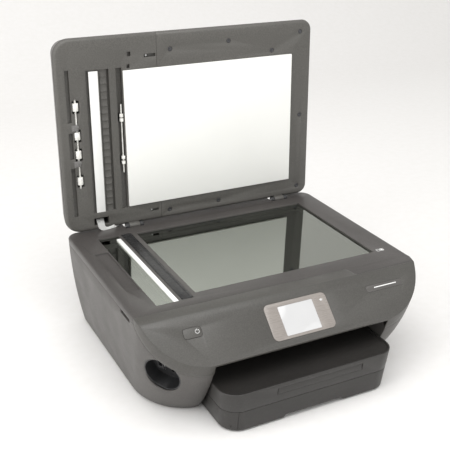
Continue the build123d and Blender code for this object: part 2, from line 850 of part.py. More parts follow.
def make_platen():
    """Ribbed plate under the paper, with the two bars that join it to the side plates."""
    low = print_z - 7
    plate = block((-124, 124), (exit_line_y + 8, roller_line_y - 8), (low, print_z - 1))
    for index in range(12):
        x = -110 + index * 20
        plate += block(both(x, 1.6), (exit_line_y + 12, roller_line_y - 12), (print_z - 1, print_z))
    for x in (-176, 124):
        plate += block((x, x + (46 if x > 0 else 52)), (20, 26), (low, low + 3))
    return plate


def make_service_station():
    x = (128, 170)
    sled = block(x, (-4, 50), (42, 60))
    sled -= block((x[0] + 2, x[1] - 2), (-2, 48), (44, far))
    caps = [rounded(both(148, 24), (4 + 22 * k, 20 + 22 * k), (44, 69), 3) for k in range(2)]
    for cap in caps:
        sled += cap
    for k in range(2):
        sled -= rounded(both(148, 20), (6 + 22 * k, 18 + 22 * k), (67, far), 2)
    return sled


def make_turn_roller():
    roller = rod_x_at(turn_y, turn_z, 6.0, (-118, 118))
    for x in (-84, -28, 28, 84):
        roller += rod_x_at(turn_y, turn_z, turn_radius, both(x, 16))
    return roller + rod_x_at(turn_y, turn_z, 3.0, (-123, 123))


def make_paper_chute():
    """Curved guide behind the turn roller, with end cheeks that carry its shaft."""
    low = turn_radius + chute_gap
    ring = rod_x_at(turn_y, turn_z, low + 2.5, (-124.5, 124.5)) - rod_x_at(turn_y, turn_z, low, (-far, far))
    ring &= block((-far, far), (turn_y, far), (0, far))
    for side in (-1, 1):
        cheek = rod_x_at(turn_y, turn_z, low + 2.5, (side * 121.5, side * 124.5))
        cheek &= block((-far, far), (turn_y - 10, far), (0, far))
        cheek -= rod_x_at(turn_y, turn_z, 3.0 + shaft_play, (-far, far))
        ring += cheek
        ring += block((side * 121.5, side * 124.5), both(turn_y, 16), (foot_height + wall, turn_z - 12))
    return ring


def make_pick_arm():
    """Swinging arm that carries the pick roller over the paper."""
    end_y = pick_pivot_y - pick_reach
    end_z = pick_pivot_z - 22
    arm = []
    for x in (-16, 12):
        points = [(pick_pivot_y + 6, pick_pivot_z - 5), (pick_pivot_y + 6, pick_pivot_z + 5),
                  (pick_pivot_y - 5, pick_pivot_z + 6), (end_y - 5, end_z + 3), (end_y - 4, end_z - 4),
                  (end_y + 5, end_z - 4)]
        arm.append(prism_x(points, (x, x + 4)))
    bridge = block((-16, 16), (pick_pivot_y - 12, pick_pivot_y - 7), (pick_pivot_z - 6, pick_pivot_z - 2))
    whole = arm[0] + arm[1] + bridge
    whole -= rod_x_at(pick_pivot_y, pick_pivot_z, 2.0 + shaft_play, (-far, far))
    whole -= rod_x_at(end_y, end_z, 1.5 + shaft_play, (-far, far))
    return whole


def make_pick_roller():
    y = pick_pivot_y - pick_reach
    z = pick_pivot_z - 22
    return rod_x_at(y, z, pick_roller_radius - 0.5, (-11, 11)) + rod_x_at(y, z, 1.5, (-17, 17)) + sum_of(
        [rod_x_at(y, z, pick_roller_radius, both(x, 8)) for x in (-6, 6)])


def sum_of(shapes):
    whole = shapes[0]
    for shape in shapes[1:]:
        whole += shape
    return whole


def make_pick_bracket():
    """Fixed cross shaft of the pick arm, held under the platen."""
    shaft = rod_x_at(pick_pivot_y, pick_pivot_z, 2.0, (-22, 22))
    ears = [block((x, x + 3), both(pick_pivot_y, 8), (pick_pivot_z - 4, print_z - 7)) for x in (-22, 19)]
    return sum_of([shaft] + ears)


# ---- feet ----
def make_feet():
    feet = []
    for x in (-1, 1):
        for y in (floor_front + 70, body_back - foot_inset):
            middle = x * (body_floor_width / 2 - foot_inset + 8)
            feet.append(Pos(middle, y, foot_height / 2) * Cylinder(foot_radius, foot_height))
    return Compound(children=[s for f in feet for s in f.solids()])


# ---- scanner bed ----
def make_bezel():
    """Top frame of the scanner, with its skirt, the window of the feeder and the shallow roller trough."""
    form = outer & block((-far / 2, far / 2), (-far, far), (skirt_z, far))
    hollow = inner & block((-far / 2, far / 2), (-far, far), (0, body_top - bezel_plate))
    zone = front_zone(wall)
    form -= hollow - zone
    form -= front_zone(-0.01) & block((jog_x - jog_run, far), (-far, seam_y), (0, body_top - bezel_plate))
    form -= front_zone(0)
    form -= above_bevel(0)
    form -= block((-far / 2, far / 2), (skirt_back, far), (0, body_top - bezel_plate))
    form -= block((glass_left, glass_right), (glass_front, glass_back), (0, far))
    form -= block((window_left, window_right), (window_front, window_back), (0, far))
    form -= block((divider_left - gap, divider_right + gap), (divider_front - gap, divider_back + gap),
                  (body_top - divider_seat, far))
    under = block((trough_left - 2, trough_right + 0.5), (trough_front - 2, trough_back + 2),
                  (body_top - trough_depth - 1.5, body_top - 1))
    form += under
    form -= rounded((trough_left, trough_right), (trough_front, trough_back),
                    (body_top - trough_depth, far), 3.0)
    for x in (hinge_left, hinge_right):
        form -= block(both(x, hinge_width + 2 * ear_width + 2), (hinge_y - hinge_radius - 2.5, far),
                      (0, far))
    return form


def make_pan():
    """Lower housing of the scanner, with the hinge knuckles of the bed and the ears of the lid hinge."""
    rim = body_top - bezel_plate
    form = rounded((pan_left, pan_right), (pan_front, pan_back), (pan_bottom, rim), 6.0)
    form -= rounded((pan_left + pan_wall, pan_right - pan_wall), (pan_front + pan_wall, pan_back - pan_wall),
                    (pan_bottom + pan_wall, far), 4.0)
    under = block((trough_left - 3, trough_right + 1.5), (trough_front - 3, trough_back + 3),
                  (body_top - trough_depth - 1.8, far))
    form -= under
    for middle in lift_places:
        form += rod_x_at(lift_y, lift_z, knuckle_radius, both(middle, knuckle_length))
        form += block(both(middle, knuckle_length), (pan_back - 1, lift_y), both(lift_z, 2 * knuckle_radius))
        form += rod_x_at(lift_y, lift_z, hinge_pin, both(middle, knuckle_length + 11))
    for x in (hinge_left, hinge_right):
        for side in (-1, 1):
            ear_x = both(x + side * (hinge_width / 2 + ear_width / 2 + gap), ear_width)
            ear = rod_x_at(hinge_y, hinge_z, hinge_radius, ear_x)
            ear += block(ear_x, (hinge_y - hinge_radius, hinge_y + hinge_radius), (pan_bottom + 16, hinge_z))
            ear += block(ear_x, (pan_back - 1, hinge_y + hinge_radius), (pan_bottom + 16, rim - 4))
            form += ear
        form += block(both(x, hinge_width + 2 * ear_width), (pan_back - 1, hinge_y + hinge_radius),
                      (pan_bottom + 14, pan_bottom + 17))
        form -= rod_x_at(hinge_y, hinge_z, hinge_pin, both(x, hinge_width + 2 * ear_width + 6))
    return form


def make_flatbed_glass():
    top = body_top - bezel_plate
    return block((glass_left - glass_lap, glass_right + glass_lap),
                 (glass_front - glass_lap, glass_back + glass_lap), (top - glass_thick, top))


def make_feeder_glass():
    top = body_top - bezel_plate
    return block((window_left - 1.2, window_right + 3), (window_front - 4, window_back + 4),
                 (top - glass_thick, top))


def make_divider():
    """Raised ramp that lifts each page off the feeder glass."""
    low = body_top - divider_seat
    body = rounded((divider_left, divider_right), (divider_front, divider_back), (low, body_top + 0.3), 5.0)
    ridge = rounded((divider_right - 4, divider_right - 2.5), (divider_front + 6, divider_back - 6),
                    (body_top - 1, body_top + 0.5), 0.7)
    return body + ridge


def make_calibration_strip():
    low = body_top - bezel_plate
    return block((strip_left, window_right - gap), (strip_front + gap, strip_back), (low, body_top - 0.2))


def make_scan_bar():
    """Contact image sensor on its carrier, which rides the guide rod."""
    top = body_top - bezel_plate - glass_thick - 0.4
    low = pan_bottom + pan_wall + 6
    x = both(scan_rest_x, scan_bar_width)
    bar = block(x, (glass_front - 8, glass_back + 8), (top - 11, top))
    bar -= block(both(scan_rest_x - 2, 4), (glass_front, glass_back), (top - 1.5, far))
    bar += block(both(scan_rest_x, scan_bar_width + 8), both(scan_rail_y(), 18), (low, top - 10))
    bar -= rod_x_at(scan_rail_y(), scan_rail_z(), 2.5 + shaft_play, (-far, far))
    return bar


def scan_rail_y():
    return (glass_front + glass_back) / 2


def scan_rail_z():
    return pan_bottom + pan_wall + 5.0 + 3.2


def make_scan_rail():
    """Steel guide rod of the scan bar, from wall to wall of the pan."""
    return rod_x_at(scan_rail_y(), scan_rail_z(), 2.5, (pan_left + pan_wall, pan_right - pan_wall))


# ---- lid, modelled closed and then opened ----
lid_axis = Axis((0, hinge_y, hinge_z), (1, 0, 0))


def opened(shape):
    return shape.rotate(lid_axis, -open_angle)


def lid_plan(inset):
    """The lid's plan outline, with larger corners on the feeder side."""
    x0 = lid_left + inset
    x1 = lid_right - inset
    y0 = lid_front + inset
    y1 = lid_back - inset
    a = lid_corner_left - inset
    b = lid_corner_right - inset
    edges = [
        Line((x0 + a, y0), (x1 - b, y0)),
        CenterArc((x1 - b, y0 + b), b, 270, 90),
        Line((x1, y0 + b), (x1, y1 - b)),
        CenterArc((x1 - b, y1 - b), b, 0, 90),
        Line((x1 - b, y1), (x0 + a, y1)),
        CenterArc((x0 + a, y1 - a), a, 90, 90),
        Line((x0, y1 - a), (x0, y0 + a)),
        CenterArc((x0 + a, y0 + a), a, 180, 90),
    ]
    return make_face(Wire(edges))


def lid_slab(inset, low, high):
    return extrude(Pos(0, 0, low) * lid_plan(inset), high - low)


def lid_form(inset, low, high):
    """The lid's outer form between two heights: upright up to the widest line, then leaning in to the top."""
    belt = lid_bottom + lid_belt
    top = Pos(0, 0, lid_top) * lid_plan(inset + lid_draft)
    form = loft([Pos(0, 0, belt) * lid_plan(inset), top]) + lid_slab(inset, lid_bottom, belt)
    return form & block((-far, far), (-far, far), (low, high))


def inner_frame(depth):
    """A tray that closes the lid from below: a rounded edge under the shell and a step inside it."""
    seam = lid_bottom + lid_seam - gap
    edge = lid_slab(lid_step, lid_bottom, seam)
    edge = fillet(edge.faces().sort_by(Axis.Z)[0].edges(), lid_round)
    return edge + lid_slab(liner_inset + gap / 2, seam - 1, lid_bottom + depth)


def lid_hinge_clearance():
    """Room in the lid for the fixed ears beside each hinge barrel."""
    cuts = []
    for x in (hinge_left, hinge_right):
        for side in (-1, 1):
            ear_x = both(x + side * (hinge_width / 2 + ear_width / 2 + gap), ear_width + 2 * moving_gap)
            cuts.append(rod_x_at(hinge_y, hinge_z, hinge_radius + 1.0, ear_x))
            cuts.append(block(ear_x, (hinge_y - hinge_radius - 1, far), (0, hinge_z + hinge_radius + 1)))
    return sum_of(cuts)


def make_lid_shell():
    shell = lid_form(0, lid_bottom + lid_seam, lid_top)
    shell = fillet(shell.faces().sort_by(Axis.Z)[-1].edges(), lid_edge)
    shell -= lid_slab(liner_inset, lid_bottom - 1, lid_bottom + frame_depth)
    shell -= lid_form(lid_wall, lid_bottom + frame_depth, lid_top - lid_wall)
    tray = rounded((document_tray_left - 2, document_tray_right + 2),
                   (document_tray_front - 2, document_tray_back + 2),
                   (lid_top - document_tray_depth - 2, lid_top - 1), 8.0)
    shell += tray
    shell -= rounded((document_tray_left, document_tray_right), (document_tray_front, document_tray_back),
                     (lid_top - document_tray_depth, far), 6.0)
    low = lid_top - cover_drop - 2
    seat = block((cover_left + 8, cover_right + 1.5), (cover_front - 2, cover_back + 2), (low, lid_top - 1))
    shell += seat
    shell -= block((cover_left - cover_swing, cover_right + gap), (cover_front - gap, cover_back + gap),
                   (lid_top - cover_drop - gap, far))
    shell -= block((cover_left + 24, cover_right - 10), (cover_front + 12, cover_back - 12),
                   (lid_bottom, far))
    for side in (-1, 1):
        shell += cover_ear(side)
    shell -= block((document_tray_left - 30, document_tray_left + 1),
                   both(feed_middle, 2 * document_half + 14),
                   (lid_top - document_tray_depth, lid_top - 3))
    shell -= rod_y_at(cover_axis_x, cover_axis_z, 2.0 + shaft_play, (cover_front - 8, cover_back + 8))
    shell -= lid_hinge_clearance()
    for x in (hinge_left, hinge_right):
        shell -= block(both(x, hinge_width + 2 * gap), (lid_back - barrel_reach, far),
                       (0, hinge_z + hinge_radius))
    return shell


cover_axis_x = cover_left + 6.0
cover_axis_z = lid_top - 5.3


def cover_ear(side):
    y = cover_front - 6 if side < 0 else cover_back + 1
    return block((cover_left, cover_left + 12), (y, y + 5), (lid_top - 11, lid_top - 2))


def make_feed_cover():
    """Hinged cover over the feeder rollers."""
    cover = block((cover_left, cover_right), (cover_front, cover_back), (lid_top - cover_thick, lid_top))
    cover += block((cover_left + 12, cover_right - 2), (cover_front + 2, cover_front + 5),
                   (lid_top - cover_drop + 1, lid_top - 1))
    cover += block((cover_left + 12, cover_right - 2), (cover_back - 5, cover_back - 2),
                   (lid_top - cover_drop + 1, lid_top - 1))
    cover += rod_y_at(cover_axis_x, cover_axis_z, cover_barrel, (cover_front + 1, cover_back - 1))
    cover = cover + rod_y_at(cover_axis_x, cover_axis_z, 2.0, (cover_front - 5, cover_back + 5))
    for k in range(5):
        x = cover_right - 14 - 5 * k
        cover -= block(both(x, 1.5), both(feed_middle, 60), (lid_top - 0.6, far))
    return cover


def make_document_guide(side):
    face = feed_middle + side * document_half
    low = lid_top - document_tray_depth + gap
    left = document_tray_left + 6
    fence = block((left, left + 64), (face, face + side * 3), (low, lid_top + 2))
    foot = block((left + 2, left + 54), (face - side * 20, face + side * 2), (low, low + 1.5))
    return fence + foot


def pocket(x, y, depth):
    """A pocket into the underside of the closed lid."""
    return block(x, y, (lid_bottom - 1, lid_bottom + depth))


def v_to_y(v):
    """Distance from the lid's hinge line to a place along Y with the lid closed."""
    return hinge_y - 0.5 - v


roller_places = (207.8, 162.4, 132.1, 88.9)
path_span = (v_to_y(262), v_to_y(31))
strip_pocket = (-174.5, -159.5)
channel = (-158.0, -142.0)
rib_count = 19
rib_thick = 0.8
exit_places = (186.0, 179.0, 117.0, 109.0)


def make_feeder_frame():
    """Inner frame of the feeder, with the slots, channels and roller pockets of the paper path."""
    form = inner_frame(frame_depth)
    form -= block((frame_seam, far), (-far, far), (0, far))
    form -= block((pad_left - gap, far), (pad_front - gap, pad_back + gap), (0, lid_bottom + 1.6))
    for v0, v1 in ((265, 184), (168, 126), (111, 30)):
        form -= pocket((-212, -205.5), (v_to_y(v0), v_to_y(v1)), 6)
    form -= pocket(strip_pocket, path_span, 3.0)
    form -= pocket((strip_pocket[0] - 5.0, strip_pocket[0]), path_span, 6.0)
    form -= pocket(channel, path_span, 7.0)
    bar = (channel[0] + 1.5, channel[1] - 3.5)
    form += block(bar, path_span, (lid_bottom + 3, lid_bottom + 8))
    for k in range(rib_count):
        y = path_span[0] + (k + 1) * (path_span[1] - path_span[0]) / (rib_count + 1)
        form += block(bar, both(y, rib_thick), (lid_bottom + 2, lid_bottom + 4))
    form -= pocket((-131, -121), path_span, 8.0)
    for v in roller_places:
        form -= pocket(both(roller_x, 2 * roller_radius + 2), both(v_to_y(v), 20), far)
    form -= block(both(roller_x, 2 * roller_shaft + 1.2), (v_to_y(220), v_to_y(76)),
                  (0, roller_z + roller_shaft + 0.5))
    for v in exit_places:
        form -= block(both(exit_x, 2 * exit_roller_radius + 1.4), both(v_to_y(v), 7), (0, far))
    form -= block(both(exit_x, 2.8), (v_to_y(200), v_to_y(96)), (0, lid_bottom + 6))
    form -= rod_y_at(roller_x, roller_z, roller_shaft + shaft_play, (v_to_y(224.5), v_to_y(71.5)))
    form -= rod_y_at(exit_x, exit_z(), 1.0 + shaft_play, (v_to_y(204.5), v_to_y(91.5)))
    form -= pocket((-180, -155), (v_to_y(22), v_to_y(10)), far)
    form -= pocket(both(13.8 - 122, 6), both(v_to_y(281.6), 7), 6)
    form -= pocket(both(12 - 122, 5), both(v_to_y(263), 6), 6)
    form -= pocket((39 - 122, 58 - 122), both(v_to_y(277), 5), 6)
    form -= pocket((41 - 122, 55 - 122), both(v_to_y(20), 4), 6)
    form -= lid_hinge_clearance()
    form += make_barrel(hinge_left)
    return form


def make_barrel(x):
    """Hinge barrel of the lid, joined to the inner frame by a short web."""
    barrel = rod_x_at(hinge_y, hinge_z, hinge_radius, both(x, hinge_width))
    web = block(both(x, hinge_width), (lid_back - barrel_reach, hinge_y + 2),
                (lid_bottom + 0.3, hinge_z + hinge_radius))
    barrel += web - rod_x_at(hinge_y, hinge_z, hinge_radius, both(x, far / 4))
    return barrel - rod_x_at(hinge_y, hinge_z, hinge_pin + shaft_play, both(x, far / 4))


def make_lid_liner():
    """Inner panel of the lid behind and round the white pad."""
    form = inner_frame(lid_seam + 2.0)
    form -= block((-far, frame_seam + gap), (-far, far), (0, far))
    form -= block((-far, pad_right + gap), (pad_front - gap, pad_back + gap), (0, lid_bottom + 1.6))
    hinge_rib = block((-far, far), (hinge_y - 20, far), (0, far))
    form -= lid_slab(liner_inset + 4, lid_bottom + liner_thick, far) - hinge_rib
    for x, v in screw_places:
        form -= rod_z_at(x - 122, v_to_y(v), 4.0, (0, lid_bottom + 1.5))
    form -= lid_hinge_clearance()
    form += make_barrel(hinge_right)
    return form


screw_places = ((83.4, 283.5), (186.9, 288.1), (75.0, 15.5), (167.0, 16.4), (323.0, 293.0), (326.5, 149.0),
                (324.7, 18.0), (268.4, 266.0))


def make_lid_screws():
    screws = []
    for x, v in screw_places:
        head = rod_z_at(x - 122, v_to_y(v), 3.4, (lid_bottom + 0.4, lid_bottom + 1.5))
        head -= block(both(x - 122, 4.4), both(v_to_y(v), 0.9), (0, lid_bottom + 1.0))
        head -= block(both(x - 122, 0.9), both(v_to_y(v), 4.4), (0, lid_bottom + 1.0))
        screws += head.solids()
    return Compound(children=screws)


def make_pad():
    return block((pad_left, pad_right), (pad_front, pad_back), (pad_face, lid_bottom + 1.6))


def make_backing_strip():
    across = (strip_pocket[0] + gap, strip_pocket[1] - gap)
    along = (path_span[0] + 2.0, path_span[1] - gap)
    return block(across, along, (lid_bottom + gap, lid_bottom + 2.9))


def make_feeder_rollers():
    y_span = (v_to_y(224), v_to_y(72))
    shaft = rod_y_at(roller_x, roller_z, roller_shaft, y_span)
    tyres = [rod_y_at(roller_x, roller_z, roller_radius, both(v_to_y(v), 12)) for v in roller_places]
    hub = [t - rod_y_at(roller_x, roller_z, roller_shaft, y_span) for t in tyres]
    return Compound(children=[*shaft.solids(), *[s for h in hub for s in h.solids()]])


def exit_z():
    return lid_bottom + exit_roller_radius + 0.2


def make_feeder_exit():
    y_span = (v_to_y(204), v_to_y(92))
    shaft = rod_y_at(exit_x, exit_z(), 1.0, y_span)
    for v in exit_places:
        shaft += rod_y_at(exit_x, exit_z(), exit_roller_radius, both(v_to_y(v), 5))
    return shaft


def make_hinge_pins():
    pins = []
    for x in (hinge_left, hinge_right):
        pins += rod_x_at(hinge_y, hinge_z, hinge_pin, both(x, hinge_width + 2 * ear_width + 0.6)).solids()
    return Compound(children=pins)


# ---- everything ----
save(make_lower_case(), "lower_case")
save(make_card_reader(), "card_reader")
save(make_power_supply(), "power_supply")
save(make_main_board(), "main_board")
save(make_control_panel(), "control_panel")
save(make_power_button(), "power_button")
save(make_touch_bezel(), "touch_bezel")
save(make_touch_screen(), "touch_screen")
save(make_badge(), "panel_badge")
save(make_main_tray(), "main_tray")
save(make_tray_front(), "tray_front")
save(make_output_tray(), "output_tray")
save(make_extender(), "output_extender")
save(make_width_guide(-1), "left_paper_guide")
save(make_width_guide(1), "right_paper_guide")
save(make_length_guide(), "paper_length_guide")
save(make_feed_roller(), "feed_roller")
save(make_exit_roller(), "exit_roller")
save(make_idler_gear(), "idler_gear")
save(make_pinion(), "feed_pinion")
save(make_mechanism_frame(), "mechanism_frame")
save(rod_x_at(rod_y, rod_z, rod_radius, (-rod_half - 2, rod_half + 2)), "carriage_rod")
save(make_carriage(), "print_carriage")
save(make_cartridge(-1), "colour_cartridge")
save(make_cartridge(1), "black_cartridge")
save(make_belt(), "carriage_belt")
save(make_pulley(pulley_x), "motor_pulley")
save(make_pulley(-pulley_x), "idler_pulley")
save(make_motors(), "drive_motors")
save(make_encoder(), "encoder_strip")
save(make_platen(), "platen")
save(make_service_station(), "service_station")
save(make_turn_roller(), "turn_roller")
save(make_paper_chute(), "paper_chute")
save(make_pick_arm(), "pick_arm")
save(make_pick_roller(), "pick_roller")
save(make_pick_bracket(), "pick_bracket")
save(make_feet(), "rubber_feet")
save(make_bezel(), "scanner_bezel")
save(make_pan(), "scanner_pan")
save(make_flatbed_glass(), "flatbed_glass")
save(make_feeder_glass(), "feeder_glass")
save(make_divider(), "feeder_divider")
save(make_calibration_strip(), "calibration_strip")
save(make_scan_bar(), "scan_bar")
save(make_scan_rail(), "scan_rail")
save(make_hinge_pins(), "lid_hinge_pins")
save(opened(make_lid_shell()), "lid_shell")
save(opened(make_lid_liner()), "lid_liner")
save(opened(make_feeder_frame()), "feeder_frame")
save(opened(make_lid_screws()), "lid_screws")
save(opened(make_pad()), "document_pad")
save(opened(make_backing_strip()), "backing_strip")
save(opened(make_feeder_rollers()), "feeder_rollers")
save(opened(make_feeder_exit()), "feeder_exit_rollers")
save(opened(make_feed_cover()), "feed_cover")
save(opened(make_document_guide(-1)), "front_document_guide")
save(opened(make_document_guide(1)), "rear_document_guide")
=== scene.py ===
import json
import math

import bmesh
import bpy
from bpy.props import FloatProperty, FloatVectorProperty, IntProperty, PointerProperty
from mathutils import Matrix, Vector

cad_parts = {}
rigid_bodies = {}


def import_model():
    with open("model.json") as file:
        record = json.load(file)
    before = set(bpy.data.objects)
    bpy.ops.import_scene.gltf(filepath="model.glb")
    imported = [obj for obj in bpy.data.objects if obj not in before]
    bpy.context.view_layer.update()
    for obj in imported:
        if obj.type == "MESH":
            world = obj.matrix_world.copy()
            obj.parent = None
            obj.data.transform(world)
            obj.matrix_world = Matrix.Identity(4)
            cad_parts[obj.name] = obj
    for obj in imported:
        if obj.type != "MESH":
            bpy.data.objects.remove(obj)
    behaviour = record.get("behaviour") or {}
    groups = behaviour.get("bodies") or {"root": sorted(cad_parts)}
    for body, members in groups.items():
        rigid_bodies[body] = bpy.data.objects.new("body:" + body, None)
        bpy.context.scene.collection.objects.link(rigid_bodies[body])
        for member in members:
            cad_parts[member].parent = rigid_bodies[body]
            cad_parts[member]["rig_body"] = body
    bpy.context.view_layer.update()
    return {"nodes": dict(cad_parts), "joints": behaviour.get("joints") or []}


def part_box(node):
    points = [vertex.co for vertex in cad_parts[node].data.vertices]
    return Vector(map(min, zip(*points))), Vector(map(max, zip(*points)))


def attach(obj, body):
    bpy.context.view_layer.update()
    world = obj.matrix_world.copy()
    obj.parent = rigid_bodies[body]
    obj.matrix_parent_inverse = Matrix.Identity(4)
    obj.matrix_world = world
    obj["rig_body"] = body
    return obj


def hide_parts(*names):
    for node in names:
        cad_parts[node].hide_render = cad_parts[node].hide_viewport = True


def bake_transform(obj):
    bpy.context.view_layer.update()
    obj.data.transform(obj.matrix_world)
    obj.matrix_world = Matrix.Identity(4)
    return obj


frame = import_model()
nodes = frame["nodes"]

bl_info = {
    "name": "Inkjet Printer",
    "version": (1, 0, 0),
    "blender": (4, 5, 0),
    "location": "View3D > Sidebar > Printer",
    "description": "Builds the visible pieces and finishes of a desktop all-in-one printer round its frame",
    "category": "Object",
}

MM = 0.001
SETTINGS = "printer_settings"
NOISE_LOW, NOISE_HIGH = 0.3, 0.7      # nearly all of a noise lies between these
SHARP_EDGE = math.radians(35)         # an edge that turns more than this is rounded
FLAT_ANGLE = math.radians(0.4)        # faces that turn less than this are one face
MERGE = 0.00002                       # points nearer than this are one point
INK_THICK = 0.00005                   # a printed mark stands this much above its surface
BADGE_LINE_THICK = 0.00006
LABEL_THICK = 0.0001


# ---- sizes and colours that a user would change ----
class PlasticSettings(bpy.types.PropertyGroup):
    case_colour: FloatVectorProperty(
        name="Case colour", description="Colour of the lower case and the lid",
        subtype="COLOR", size=3, min=0, max=1, default=(0.078, 0.073, 0.068))
    panel_colour: FloatVectorProperty(
        name="Panel colour", description="Colour of the sloping control panel",
        subtype="COLOR", size=3, min=0, max=1, default=(0.064, 0.061, 0.055))
    bed_colour: FloatVectorProperty(
        name="Bed colour", description="Colour of the frame round the flatbed glass",
        subtype="COLOR", size=3, min=0, max=1, default=(0.060, 0.055, 0.052))
    tray_colour: FloatVectorProperty(
        name="Tray colour", description="Colour of the paper trays",
        subtype="COLOR", size=3, min=0, max=1, default=(0.030, 0.028, 0.026))
    liner_colour: FloatVectorProperty(
        name="Liner colour", description="Colour of the inside of the lid",
        subtype="COLOR", size=3, min=0, max=1, default=(0.092, 0.088, 0.080))
    grain_size: FloatProperty(
        name="Grain size", description="Width of one dimple of the moulded texture",
        subtype="DISTANCE", unit="LENGTH", min=0.0001, max=0.003, default=0.0007)
    grain_depth: FloatProperty(
        name="Grain depth", description="Depth of the moulded texture",
        subtype="DISTANCE", unit="LENGTH", min=0, max=0.0002, default=0.00003)


class EdgeSettings(bpy.types.PropertyGroup):
    moulded_edge: FloatProperty(
        name="Moulded edge", description="Radius on the edges of the large mouldings",
        subtype="DISTANCE", unit="LENGTH", min=0, max=0.003, default=0.0007)
    fine_edge: FloatProperty(
        name="Fine edge", description="Radius on the edges of small pieces",
        subtype="DISTANCE", unit="LENGTH", min=0, max=0.002, default=0.0003)
    sheet_edge: FloatProperty(
        name="Sheet edge", description="Radius on the edges of folded sheet metal",
        subtype="DISTANCE", unit="LENGTH", min=0, max=0.001, default=0.0002)
    edge_steps: IntProperty(
        name="Edge steps", description="Faces across each rounded edge",
        min=1, max=6, default=2)


class StageSettings(bpy.types.PropertyGroup):
    key_power: FloatProperty(
        name="Key light", description="Power of the large soft light over the printer",
        unit="POWER", min=0, default=34.0)
    fill_power: FloatProperty(
        name="Fill light", description="Power of the soft light from the left",
        unit="POWER", min=0, default=26.0)
    front_power: FloatProperty(
        name="Front light", description="Power of the soft light from the user's side",
        unit="POWER", min=0, default=9.0)
    room_light: FloatProperty(
        name="Room light", description="Strength of the even light of the white room",
        min=0, default=0.85)
    lens: FloatProperty(
        name="Lens", description="Focal length of the camera on a 36 mm sensor, in millimetres",
        min=10, default=66.87)


class PrinterSettings(bpy.types.PropertyGroup):
    plastic: PointerProperty(type=PlasticSettings)
    edge: PointerProperty(type=EdgeSettings)
    stage: PointerProperty(type=StageSettings)


def settings():
    return getattr(bpy.context.scene, SETTINGS)


# ---- shader helpers ----
def new_material(name):
    material = bpy.data.materials.new(name)
    material.use_nodes = True
    tree = material.node_tree
    shader = tree.nodes["Principled BSDF"]
    return material, tree, shader


def noise(tree, scale, detail=3.0, stretch=None, roughness=0.5):
    """Noise over the piece's own coordinates, in metres, stretched where asked."""
    coordinates = tree.nodes.new("ShaderNodeTexCoord")
    texture = tree.nodes.new("ShaderNodeTexNoise")
    texture.inputs["Scale"].default_value = scale
    texture.inputs["Detail"].default_value = detail
    texture.inputs["Roughness"].default_value = roughness
    source = coordinates.outputs["Object"]
    if stretch:
        mapping = tree.nodes.new("ShaderNodeMapping")
        mapping.inputs["Scale"].default_value = stretch
        tree.links.new(source, mapping.inputs["Vector"])
        source = mapping.outputs["Vector"]
    tree.links.new(source, texture.inputs["Vector"])
    return texture


def ramp(tree, source, stops):
    """A colour ramp over a grey value. A stop is (position, colour)."""
    node = tree.nodes.new("ShaderNodeValToRGB")
    elements = node.color_ramp.elements
    while len(elements) < len(stops):
        elements.new(0.5)
    for element, (position, colour) in zip(elements, stops):
        element.position = position
        element.color = (*colour, 1.0) if len(colour) == 3 else colour
    tree.links.new(source, node.inputs["Fac"])
    return node.outputs["Color"]


def blend_colours(tree, factor, first, second, mode="MIX"):
    """Mix two colours, each a socket or a plain colour."""
    node = tree.nodes.new("ShaderNodeMix")
    node.data_type = "RGBA"
    node.blend_type = mode
    for socket, value in ((node.inputs[0], factor), (node.inputs[6], first), (node.inputs[7], second)):
        if isinstance(value, bpy.types.NodeSocket):
            tree.links.new(value, socket)
        elif isinstance(value, (int, float)):
            socket.default_value = value
        else:
            socket.default_value = (*value, 1.0)
    return node.outputs[2]


def remap(tree, source, low, high):
    """A value from 0 to 1 moved to another range."""
    node = tree.nodes.new("ShaderNodeMapRange")
    node.inputs["From Min"].default_value = NOISE_LOW
    node.inputs["From Max"].default_value = NOISE_HIGH
    node.inputs["To Min"].default_value = low
    node.inputs["To Max"].default_value = high
    tree.links.new(source, node.inputs["Value"])
    return node.outputs["Result"]


def bump(tree, shader, source, depth, strength=1.0, under=None):
    node = tree.nodes.new("ShaderNodeBump")
    node.inputs["Strength"].default_value = strength
    node.inputs["Distance"].default_value = depth
    tree.links.new(source, node.inputs["Height"])
    if under:
        tree.links.new(under, node.inputs["Normal"])
    tree.links.new(node.outputs["Normal"], shader.inputs["Normal"])
    return node.outputs["Normal"]


def shade(colour, factor):
    return tuple(min(1.0, channel * factor) for channel in colour)


def mottle(tree, texture, colour, low, high):
    """A colour that wanders between two of its shades with a noise."""
    return ramp(tree, texture.outputs["Fac"],
                [(NOISE_LOW, shade(colour, low)), (NOISE_HIGH, shade(colour, high))])


def uneven_gloss(tree, shader, texture, low, high):
    """Roughness that wanders between two values with a noise."""
    tree.links.new(remap(tree, texture.outputs["Fac"], low, high), shader.inputs["Roughness"])


